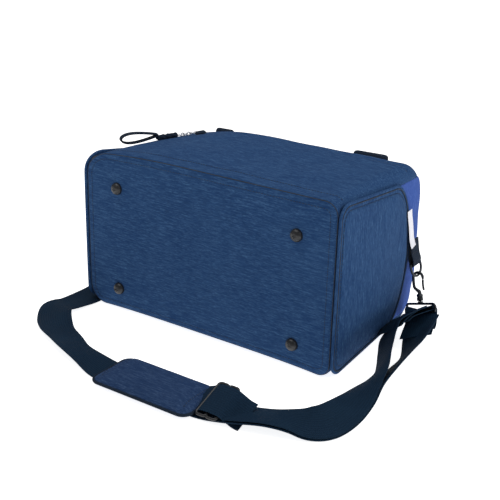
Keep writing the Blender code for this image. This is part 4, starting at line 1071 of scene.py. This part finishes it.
# place and direction at distance s down a drop line of (rise, height)
def dropAt(line, s):
    curve = smoothCurve(line, 12)
    walk = np.concatenate([[0], np.cumsum(np.linalg.norm(np.diff(curve, axis=0), axis=1))])
    spot = np.stack([np.interp(s, walk, curve[:, k]) for k in range(2)], -1)
    ahead = np.stack([np.interp(np.minimum(s + 0.001, walk[-1]), walk, curve[:, k]) for k in range(2)], -1)
    behind = np.stack([np.interp(s - 0.001, walk, curve[:, k]) for k in range(2)], -1)
    return spot, unit(ahead - behind)


# handle: the flat U of (x, distance down) is smoothed, then laid on the drop line
def handle(name, line, drop, body, node, lean):
    v = handleValues
    start, corner = 0.0068, 0.026
    deep = drop - v["width"] / 2
    left = np.concatenate([evenly([(-v["span"], start), (-v["span"], deep - corner)], 8)[:-1],
                           arcPoints(-v["span"] + corner, deep - corner, corner, corner, 180, 90, 14)])
    left = np.concatenate([left, evenly([(-v["span"] + corner, deep), (0, deep)], 26)[1:]])
    flat = np.concatenate([left, left[::-1][1:] * np.array((-1, 1))])
    way = unit(np.gradient(flat, axis=0))
    spot, fall = dropAt(line, flat[:, 1])
    down = np.stack([0 * fall[:, 0], fall[:, 0], fall[:, 1]], -1)
    along = np.array((1.0, 0.0, 0.0))[None]
    centre = np.stack([flat[:, 0], baseY + spot[:, 0], spot[:, 1]], -1)
    ahead = along * way[:, :1] + down * way[:, 1:]
    out = np.cross(np.broadcast_to(along, down.shape), down)
    across = unit(np.cross(out, ahead))
    profile = flatProfile(v["width"], v["thick"], 8)
    points = centre[:, None] + across[:, None] * profile[None, :, :1] + out[:, None] * profile[None, :, 1:]
    side = -1
    edgeLines = [centre + across * k + out * (v["thick"] / 2 + 0.0002) * side for k in (-0.0095, 0.0095)]
    topLines = [centre + across * k - out * (v["thick"] / 2 + 0.0002) * side for k in (-0.0095, 0.0095)]
    if lean:
        points = leaned(points, line)
        edgeLines = [leaned(e, line) for e in edgeLines]
        topLines = [leaned(e, line) for e in topLines]
    gridPiece(name, points, "webbing", body=body, closeJ=True, capI=True, replaces=(node,), slot="webbing")
    for k, e in enumerate(edgeLines + topLines):
        stitches(f"{name}Stitches{k}", e, (0, 1, 0.2), body=body)


# a sewn lug: a roll of webbing, full in its middle and pinched at its ends
def lug(name, line, x, lean, node):
    v = handleValues
    t = np.linspace(-1, 1, 40)
    inner = v["lugInner"] if x > 0 and lean else v["lugOuter"]
    reach = np.interp(t, [-1, 1], [-inner, v["lugOuter"]]) * (1 if x > 0 else -1)
    path = np.stack([x + reach, np.full(40, baseY + line[0][0]), np.full(40, line[0][1])], -1)
    scale = np.sqrt(np.clip(1 - np.abs(t) ** 14, 0.03, 1))
    if lean:
        path = leaned(path, line) - np.array((0, 0.0010, 0.0018 if x < 0 else 0.0))
    sweep(name, path, roundProfile(v["lugR"] - 0.0002, 18), "webbing", hint=(0, 1, 0), scale=scale,
          replaces=(node,), slot="webbing")


# grip wrap: a padded sleeve round the crossing, thicker in its middle
def gripWrap():
    v = handleValues
    spot, fall = dropAt(frontDropLine, np.array([v["frontDrop"] - v["width"] / 2]))
    t = np.linspace(-1, 1, 30)
    path = np.stack([0.034 * t, np.full(30, baseY + spot[0, 0]), np.full(30, spot[0, 1])], -1)
    down = np.array((0.0, fall[0, 0], fall[0, 1]))
    out = np.cross((1.0, 0.0, 0.0), down)
    a = np.arange(36) * 2 * math.pi / 36
    c, s = np.cos(a), np.sin(a)
    wide = np.sign(c) * np.abs(c) ** 0.55 * 0.0153
    high = np.sign(s) * np.abs(s) ** 0.75 * 0.0047
    swell = 0.86 + 0.16 * np.sqrt(np.clip(1 - t ** 4, 0, 1))
    points = (path[:, None] + down[None, None] * (wide[None, :, None])
              + out[None, None] * (high[None, :, None] * swell[:, None, None]))
    points = leaned(points, frontDropLine)
    made = gridPiece("gripWrap", points, "webbing", body="front_handle", closeJ=True, capI=True,
                     replaces=("handle_wrap",), slot="webbing")


handle("frontHandleBand", frontDropLine, handleValues["frontDrop"], "front_handle", "front_handle", True)
handle("backHandleBand", backDropLine, handleValues["backDrop"], "back_handle", "back_handle", False)
for lugSide, lugWord in ((-1, "left"), (1, "right")):
    lug(f"{lugWord}FrontLug", frontDropLine, lugSide * handleValues["span"], True,
        f"front_handle_lug_{lugWord}")
    lug(f"{lugWord}BackLug", backDropLine, lugSide * handleValues["span"], False,
        f"back_handle_lug_{lugWord}")
gripWrap()
print("handles ready")

# ---- end hardware ----

hardware = {
    "tabX": 0.2156, "tabRise": 0.2155, "eyeZ": 0.101, "tabWidth": 0.025, "eyeOut": 0.0066, "wireR": 0.0018,
    "hookR": 0.0021, "ringHalf": 0.0152, "ringDrop": 0.019, "ringTurn": math.radians(18), "bow": 0.0072,
    "barrelTop": -0.027, "barrelR": 0.0046, "barrelH": 0.010, "rectHalf": 0.0275, "rectTall": 0.0115,
}


ringFrames = {}


# turned solid: a profile of (radius, height) spun about the local upright axis
def turnedPoints(profile, count=32):
    profile = np.array(profile, float)
    a = np.arange(count) * 2 * math.pi / count
    return np.stack([profile[:, :1] * np.cos(a), profile[:, :1] * np.sin(a),
                     np.broadcast_to(profile[:, 1:], (len(profile), count))], -1)


def placed(points, pivot, axes):
    return np.array(pivot) + points @ np.array(axes)


def endHardware(side, word):
    v = hardware
    y = baseY + v["tabRise"]
    # folded webbing tab: down the panel, round the ring's bar and back up behind itself
    n0, r = v["eyeOut"], 0.0031
    line = np.concatenate([[(0.0022, 0.1370), (0.0034, 0.1290), (0.0058, 0.1160), (0.0092, 0.1070)],
                           arcPoints(n0, v["eyeZ"], r, r, 30, -190, 14),
                           [(0.0014, 0.1080), (0.0007, 0.1180), (0.0007, 0.1350)]])
    line = smoothCurve(line, 3)
    path = np.stack([side * (v["tabX"] + line[:, 0]), np.full(len(line), y), line[:, 1]], -1)
    up = np.cross(tangents(path), (0, 1, 0))
    across = np.broadcast_to(np.array((0.0, 1.0, 0.0)), up.shape)
    sweep(f"{word}TabWebbing", path, flatProfile(v["tabWidth"] - 0.0004, 0.0012, 8), "webbing", across, up,
          replaces=(f"{word}_ring_tab",), slot="webbing")
    box = np.array([(0.118, -0.0095), (0.118, 0.0095), (0.132, 0.0095), (0.132, -0.0095)])
    box = evenly(box, 40, closed=True)
    n = np.interp(box[:, 0], [0.116, 0.129, 0.137], [0.0058, 0.0034, 0.0022]) + 0.0008
    stitches(f"{word}TabStitches", np.stack([side * (v["tabX"] + n), y + box[:, 1], box[:, 0]], -1),
             (side, 0, 0),
             closed=True, long=0.0022, gap=0.001)

    bar = np.array((side * (v["tabX"] + n0), y, v["eyeZ"]))
    half, drop = v["ringHalf"], v["ringDrop"]
    shape = np.concatenate([evenly([(-half, 0), (half, 0)], 14),
                            arcPoints(0, -0.006, half, drop - 0.006, 0, -180, 34)])
    shape = evenly(shape, 90, closed=True)
    ox, oz = math.sin(v["ringTurn"]), math.cos(v["ringTurn"])
    path = bar + np.stack([side * -shape[:, 1] * ox, shape[:, 0], shape[:, 1] * oz], -1)
    sweep(f"{word}DRing", path, roundProfile(v["wireR"], 14), "darkMetal", hint=(side, 0, 0.3), closed=True,
          body=f"{word}_ring", replaces=(f"{word}_d_ring",), slot="steel")

    pivot = bar + np.array((side * drop * ox, 0, -drop * oz))
    down = unit(np.array((side * 0.30, -0.22, -0.93)))
    bowWay = unit(np.array((side, 0.0, 0.0)) - down * (side * down[0]))
    axes = np.array((bowWay, np.cross(-down, bowWay), -down))
    hookPieces(word, pivot, axes)
    ringPieces(word, pivot, axes, side)


# snap hook: wire bow on a turned swivel barrel, drawn in its own frame with the D-ring's wire at the origin
def hookPieces(word, pivot, axes):
    v = hardware
    bow = v["bow"]
    mid = v["wireR"] + 0.0003 + v["hookR"] - bow
    top = v["barrelTop"]
    line = np.concatenate([[(0, top - 0.001), (0, top + 0.003), (-0.0035, top + 0.0062),
                            (-bow, top + 0.0110)],
                           arcPoints(0, mid, bow, bow, 180, 0, 16), [(bow, mid - 0.0030)]])
    line = smoothCurve(line, 4)
    path = placed(np.stack([line[:, 0], 0 * line[:, 0], line[:, 1]], -1), pivot, axes)
    t = np.linspace(0, 1, len(path))
    scale = 1.0 - 0.25 * np.clip((t - 0.93) / 0.07, 0, 1) + 0.35 * np.exp(-((t - 0.05) / 0.05) ** 2)
    sweep(f"{word}HookBow", path, roundProfile(v["hookR"], 14), "darkMetal", hint=tuple(axes[1]), scale=scale,
          body=f"{word}_hook", replaces=(f"{word}_snap_hook",), slot="steel")
    r, h = v["barrelR"], v["barrelH"]
    profile = [(0.0002, top + 0.0012), (0.0022, top + 0.0010), (r - 0.0012, top + 0.0002),
               (r - 0.0003, top - 0.0006),
               (r, top - 0.0016), (r, top - 0.0038), (r - 0.0005, top - 0.0042), (r - 0.0005, top - 0.0050),
               (r, top - 0.0054), (r, top - h + 0.0010), (r - 0.0006, top - h + 0.0002),
               (0.0019, top - h + 0.0001),
               (0.0019, top - h + 0.0050), (0.0002, top - h + 0.0050)]
    gridPiece(f"{word}HookBarrel", placed(turnedPoints(profile), pivot, axes), "darkMetal",
              body=f"{word}_hook",
              closeJ=True, capI=True, sharp=40)
    tip, foot = mid - 0.0033, top + 0.0050
    z = np.linspace(foot, tip, 16)
    x = bow - 0.0006 * np.sin(np.linspace(0, math.pi, 16))
    path = placed(np.stack([x, 0 * x, z], -1), pivot, axes)
    ends = 0.75 + 0.25 * np.sqrt(np.clip(1 - np.linspace(-1, 1, 16) ** 6, 0, 1))
    sweep(f"{word}Gate", path, roundProfile(0.0016, 12), "darkMetal", hint=tuple(axes[1]), scale=ends,
          body=f"{word}_gate", replaces=(f"{word}_hook_gate",), slot="steel")


# rectangular ring that carries the strap, with the post that turns in the barrel
def ringPieces(word, pivot, axes, side):
    v = hardware
    a = math.radians(side * -20)
    turned = np.array([(math.cos(a), math.sin(a), 0), (-math.sin(a), math.cos(a), 0), (0, 0, 1)]) @ axes
    ringFrames[word] = (pivot, turned)
    base = v["barrelTop"] - v["barrelH"]
    high = base - 0.0042
    line = roundedRect(-v["rectHalf"], high - v["rectTall"], v["rectHalf"], high, (0.004,) * 4, 8)
    line = evenly(line, 120, closed=True)
    path = placed(np.stack([line[:, 0], 0 * line[:, 0], line[:, 1]], -1), pivot, turned)
    sweep(f"{word}StrapRing", path, roundProfile(v["wireR"], 14), "darkMetal", hint=tuple(turned[1]),
          closed=True,
          replaces=(f"{word}_strap_ring",), slot="steel")
    profile = [(0.0002, base + 0.0046), (0.0015, base + 0.0044), (0.0015, base - 0.0003),
               (0.0034, base - 0.0005),
               (0.0038, base - 0.0011), (0.0038, high + 0.0008), (0.0030, high - 0.0006),
               (0.0002, high - 0.0008)]
    gridPiece(f"{word}RingPost", placed(turnedPoints(profile), pivot, turned), "darkMetal", closeJ=True,
              capI=True,
              sharp=40)


# strap end folded round a ring's lower bar: out from the strap, once round the bar and back along the strap
def strapFold(name, path, across, out, pivot, turned, lift):
    v = hardware
    low = v["barrelTop"] - v["barrelH"] - 0.0042 - v["rectTall"]
    bar = placed(np.array([[0.0, 0.0, low]]), pivot, turned)[0]
    barWay = turned[0] * (1 if np.dot(turned[0], across[-1]) > 0 else -1)
    over = unit(-out[-1])
    come = unit(bar - path[-1])
    over = unit(over - come * np.dot(over, come))
    a = np.linspace(-100, 100, 22) * math.pi / 180
    r = v["wireR"] + 0.0013
    wrap = bar + come * (r * np.cos(a))[:, None] + over * (r * np.sin(a))[:, None]
    tail = path[-9:-2:3] - out[-9:-2:3] * lift
    head = path[-6:-2:2] + out[-6:-2:2] * 0.0018
    line = smoothCurve(np.concatenate([head, wrap[::3], tail[::-1]]), 4)
    t = np.linspace(0, 1, len(line))[:, None]
    near = np.clip(1 - np.abs(t - 0.45) / 0.30, 0, 1)
    side = unit(across[-1] * (1 - near) + barWay * near)
    way = tangents(line)
    side = unit(side - way * np.einsum("ij,ij->i", side, way)[:, None])
    width = 0.0465 - 0.0010 * near[:, 0]
    return sweep(name, line, flatProfile(1.0, 0.0012 / 0.0465, 10) * 0.0465, "strap", side,
                 np.cross(side, way),
                 scale=width / 0.0465)


endHardware(1, "right")
endHardware(-1, "left")
folds = [strapFold("strapFoldLeft", strapPath[::-1], strapAcross[::-1], strapOut[::-1],
                   *ringFrames["left"], 0.0018),
         strapFold("strapFoldRight", strapPath, strapAcross, strapOut, *ringFrames["right"], 0.0018)]
foldBack = strapFold("strapFoldReturn", backPath, backAcross, backOut, *ringFrames["right"], 0.0018)
print("end hardware ready")

# ---- shoulder pad, adjuster, tether, label, feet, inside ----

padValues = {"x": (-0.034, 0.125), "rise": (-0.197, -0.1175), "z": (0.0040, 0.0172), "corner": 0.013,
             "binding": 0.0020}


# pad: a rounded rectangle whose top is z0 + h*(1-r^3)^0.6, dipped along a sewn channel near each end
def padPiece():
    v = padValues
    (x0, x1), (r0, r1), (z0, z1) = v["x"], v["rise"], v["z"]
    outline = evenly(roundedRect(x0 + 0.001, r0 + 0.001, x1 - 0.001, r1 - 0.001, (v["corner"],) * 4,
                                 12), 260, closed=True)
    middle = np.array(((x0 + x1) / 2, (r0 + r1) / 2))
    r = np.concatenate([np.linspace(0, 0.86, 26), np.linspace(0.88, 1.0, 12)])
    flat = middle + (outline[None] - middle) * r[:, None, None]
    rr = r[:, None]
    ends = np.minimum(flat[..., 0] - x0, x1 - flat[..., 0])
    channel = np.exp(-((ends - 0.013) / 0.0022) ** 2) * 0.0022
    crown = (z1 - z0) * (1 - rr ** 5) ** 0.55
    wave = ripple(np.stack([flat[..., 0], flat[..., 1], 0 * flat[..., 0]], -1), 0.045,
                  5) * 0.0006 * (1 - rr ** 4)
    edgeZ = z0 + 0.0022
    top = np.stack([flat[..., 0], baseY + flat[..., 1], edgeZ + (crown - 0.0022) * (crown > 0.0022)
                    + wave - channel * (1 - rr ** 8)], -1)
    top[..., 2] = np.maximum(top[..., 2], edgeZ)
    low = np.stack([flat[..., 0], baseY + flat[..., 1], z0 + 0 * flat[..., 0] + 0.0022 * rr ** 12], -1)
    pad = gridPiece("padCushion", np.concatenate([top, low[::-1][1:]]), "heatherPad", closeJ=True,
                    replaces=("shoulder_pad",), slot="heather")
    edge = evenly(roundedRect(x0 + 0.0015, r0 + 0.0015, x1 - 0.0015, r1 - 0.0015, (v["corner"],) * 4,
                              12), 220, closed=True)
    bind = np.stack([edge[:, 0], baseY + edge[:, 1], np.full(len(edge), edgeZ + 0.0002)], -1)
    binding = sweep("padBinding", bind, flatProfile(2 * v["binding"], 2 * v["binding"], 2, 6), "webbing",
                    hint=(0, 0, 1), closed=True)
    sewn = [pad, binding]
    for k, x in enumerate((x0 + 0.013, x1 - 0.013)):
        y = np.linspace(r0 + 0.005, r1 - 0.005, 24)
        z = edgeZ + (z1 - z0) * 0.72 * (1 - np.abs(np.linspace(-1, 1, 24)) ** 4)
        sewn.append(stitches(f"padStitches{k}", np.stack([np.full(24, x), baseY + y, z], -1), (0, 0, 1)))
    return sewn


adjusterValues = {"place": (0.1422, -0.1545, 0.0172), "tilt": math.radians(20), "half": 0.0295,
                  "reach": 0.0165,
                  "slot": 0.0048, "thick": 0.0036}


# slide adjuster: a rounded frame with a middle bar, made of two rings that share the bar, under a fold
# of webbing
def adjusterPieces():
    v = adjusterValues
    c, s0 = math.cos(v["tilt"]), math.sin(v["tilt"])
    axes = np.array([(1, 0, 0), (0, c, s0), (0, -s0, c)], float)
    place = np.array((v["place"][0], baseY + v["place"][1], v["place"][2]))
    made = []
    for k, side in enumerate((-1, 1)):
        x0, x1 = sorted((0.0, side * (v["reach"] - 0.0016)))
        line = evenly(roundedRect(x0, -v["half"] + 0.0020, x1, v["half"] - 0.0020, (0.004,) * 4), 110,
                      closed=True)
        path = placed(np.stack([line[:, 0], line[:, 1], 0 * line[:, 0]], -1), place, axes)
        made.append(sweep(f"adjusterFrame{k}", path, flatProfile(0.0040, v["thick"], 3), "plastic",
                          hint=tuple(axes[2]),
                          closed=True, replaces=("strap_adjuster",), slot="plastic"))
    line = [(-0.0290, 0, -0.0085), (-0.0200, 0, -0.0040), (-0.0110, 0, 0.0022), (-0.0020, 0, 0.0046),
            (0.0080, 0, 0.0044),
            (0.0165, 0, 0.0036), (0.0240, 0, -0.0012), (0.0330, 0, -0.0075), (0.0430, 0, -0.0105)]
    path = placed(smoothCurve(line, 6), place, axes)
    across = np.broadcast_to(axes[1], path.shape)
    made.append(sweep("adjusterFold", path, flatProfile(0.0470, 0.0015, 10), "strap", across,
                      np.cross(across, tangents(path))))
    return made


tetherValues = {"start": (-0.1380, 0.1810), "end": (-0.2150, 0.0580)}


# place on the front side at distance s down the tether, off to its side and lift above the cloth
def tetherPlace(s, off=0.0, lift=0.0):
    start, end = np.array(tetherValues["start"]), np.array(tetherValues["end"])
    way = unit(end - start)
    side = np.array((way[1], -way[0]))
    s, off = np.asarray(s, float), np.asarray(off, float)
    flat = start + way * s[..., None] + side * off[..., None]
    top = np.stack([flat[..., 0], baseY + flat[..., 1], np.full(flat.shape[:-1], bag["depth"])], -1)
    top = drooped(top)
    top[..., 2] += lift
    return top


def tetherPieces():
    s = np.linspace(-0.006, 0.010, 10)
    up = (0, 0, 1)
    anchor = sweep("tetherAnchorTab", tetherPlace(s, 0 * s, 0.0034), flatProfile(0.012, 0.0026, 4),
                   "webbing", hint=up,
                   replaces=("tether_anchor",), slot="webbing")
    a = np.radians(np.linspace(0, 360, 28, endpoint=False))
    eye = tetherPlace(0.0145 + 0.0045 * np.cos(a), 0.0040 * np.sin(a), 0.0046)
    clip = sweep("tetherClipEye", eye, roundProfile(0.0011, 10), "brightMetal", hint=up, closed=True,
                 replaces=("tether_clip",), slot="steel")
    links = [clip]
    for k in range(4):
        wide = 0.0026 if k % 2 else 0.0009
        link = tetherPlace(0.0215 + 0.0047 * k + 0.0036 * np.cos(a), wide * np.sin(a), 0.0046)
        link[:, 2] += (0.0 if k % 2 else 0.0022) * np.sin(a)
        links.append(sweep(f"tetherLink{k}", link, roundProfile(0.0009, 8), "brightMetal", hint=up,
                           closed=True))
    t = np.linspace(0, 1, 60)
    braidPath = tetherPlace(0.0385 + 0.0350 * t, 0.0015 * np.sin(3 * t), 0.0052)
    turn = t * 2 * math.pi * 3.5
    profile = roundProfile(0.0040, 18)
    _, upward, sideways = carriedFrames(braidPath, up)
    b = np.arange(18) * 2 * math.pi / 18
    knots = 1 + 0.10 * np.cos(3 * b[None] + turn[:, None]) + 0.08 * np.cos(2 * b[None] - 1.5 * turn[:, None])
    knots *= np.sqrt(np.clip(1 - np.abs(2 * t - 1) ** 14, 0.15, 1))[:, None]
    points = (braidPath[:, None] + sideways[:, None] * (profile[None, :, :1] * knots[..., None])
              + upward[:, None] * (profile[None, :, 1:] * knots[..., None]))
    braid = gridPiece("tetherBraidCord", points, "webbing", closeJ=True, capI=True,
                      replaces=("tether_braid",),
                      slot="webbing")
    turn = np.radians(np.linspace(10, 350, 60))
    tall = 0.0078 * np.sin(turn) * (1 - 0.55 * np.cos(turn)) / 1.2
    loopPath = tetherPlace(0.1000 - 0.0290 * np.cos(turn), 0 * turn, 0.0102 + tall)
    way = tangents(loopPath)
    level = unit(tetherPlace(0.1, 0.01) - tetherPlace(0.1, 0.0))
    level = unit(np.broadcast_to(level, way.shape) * np.array((1, 1, 0)))
    loop = sweep("tetherLoopBand", loopPath, flatProfile(0.0098, 0.0026, 6), "webbing", level,
                 np.cross(way, level),
                 replaces=("tether_loop",), slot="webbing")
    return links, braid, braidPath, loop, loopPath


def labelPiece():
    line = np.array([(0.1955, 0.1850), (0.1968, 0.1720), (0.1985, 0.1580), (0.2010, 0.1440),
                     (0.2050, 0.1290)])
    line = smoothCurve(line, 8)
    t = np.linspace(0, 1, len(line))
    x = hardware["tabX"] + 0.0006 + 0.0020 * np.sin(t * math.pi) ** 2 + 0.0062 * t ** 3
    path = np.stack([x, baseY + line[:, 0], line[:, 1]], -1)
    way = tangents(path)
    across = unit(np.cross(way, (1.0, 0.0, 0.0)))
    sweep("ribbonLabel", path, flatProfile(0.0132, 0.0006, 6, 3), "label", across, np.cross(across, way),
          replaces=("care_label",), slot="label")


# foot: a moulded dome, radius r at height h, with a shallow driver cross pressed into its top
def feet():
    h, r = 0.0078, 0.0090
    t = np.linspace(0, 1, 40)
    a = np.arange(48) * 2 * math.pi / 48
    rad = r * np.sin(t * math.pi / 2)[:, None] * np.ones(48)
    high = h * np.cos(t * math.pi / 2)[:, None] ** 0.8 * np.ones(48)
    x, z = rad * np.cos(a), rad * np.sin(a)
    arm = np.exp(-(np.minimum(np.abs(x), np.abs(z)) / 0.0005) ** 4) * np.exp(-(rad / 0.0030) ** 6)
    high = high - 0.0009 * arm
    skirt = np.stack([r * np.cos(a), 0 * a + 0.0, r * np.sin(a)], -1)[None]
    stud = np.stack([0.0021 * np.cos(a), 0 * a, 0.0021 * np.sin(a)], -1)
    dome = np.stack([x, -high, z], -1)
    tail = np.stack([skirt[0] - np.array((0, 0.0003, 0)), stud - np.array((0, 0.0003, 0)),
                     stud + np.array((0, 0.0078, 0))])
    points = np.concatenate([dome, tail])
    spots = [(x0, z0) for z0 in (0.0355, 0.1912) for x0 in (-0.1517, 0.1517)]
    for k, (fx, fz) in enumerate(spots, start=1):
        gridPiece(f"footDome{k}", points + np.array((fx, baseY, fz)), "plastic", closeJ=True, capI=True,
                  replaces=(f"foot_{k}",), slot="plastic", sharp=40)


def matPiece():
    low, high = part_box("pet_mat")
    outline = evenly(roundedRect(low[0], low[2], high[0], high[2], (0.018,) * 4, 10), 240, closed=True)
    made = flatDisc("fleeceMat", outline, (0, 0.123), low[1] + 0.0004, high[1] - 0.0012, "fleece", "bag",
                    wave=0.0007, replaces=("pet_mat",), slot="fleece")


padSewn = padPiece()
adjusterSet = adjusterPieces()
tetherLinks, braidCord, braidPath, loopBand, loopPath = tetherPieces()
labelPiece()
feet()
matPiece()
for nodeName, finish in (("base_board", "board"), ("zip_slider_left", "darkMetal"),
                         ("zip_slider_right", "darkMetal"), ("zip_pull_left", "darkMetal"),
                         ("zip_pull_right", "darkMetal"), ("foot_washer_1", "brightMetal"),
                         ("foot_washer_2", "brightMetal"), ("foot_washer_3", "brightMetal"),
                         ("foot_washer_4", "brightMetal")):
    for holder in nodes[nodeName].material_slots:
        holder.material = materials[finish]
print("small pieces ready")
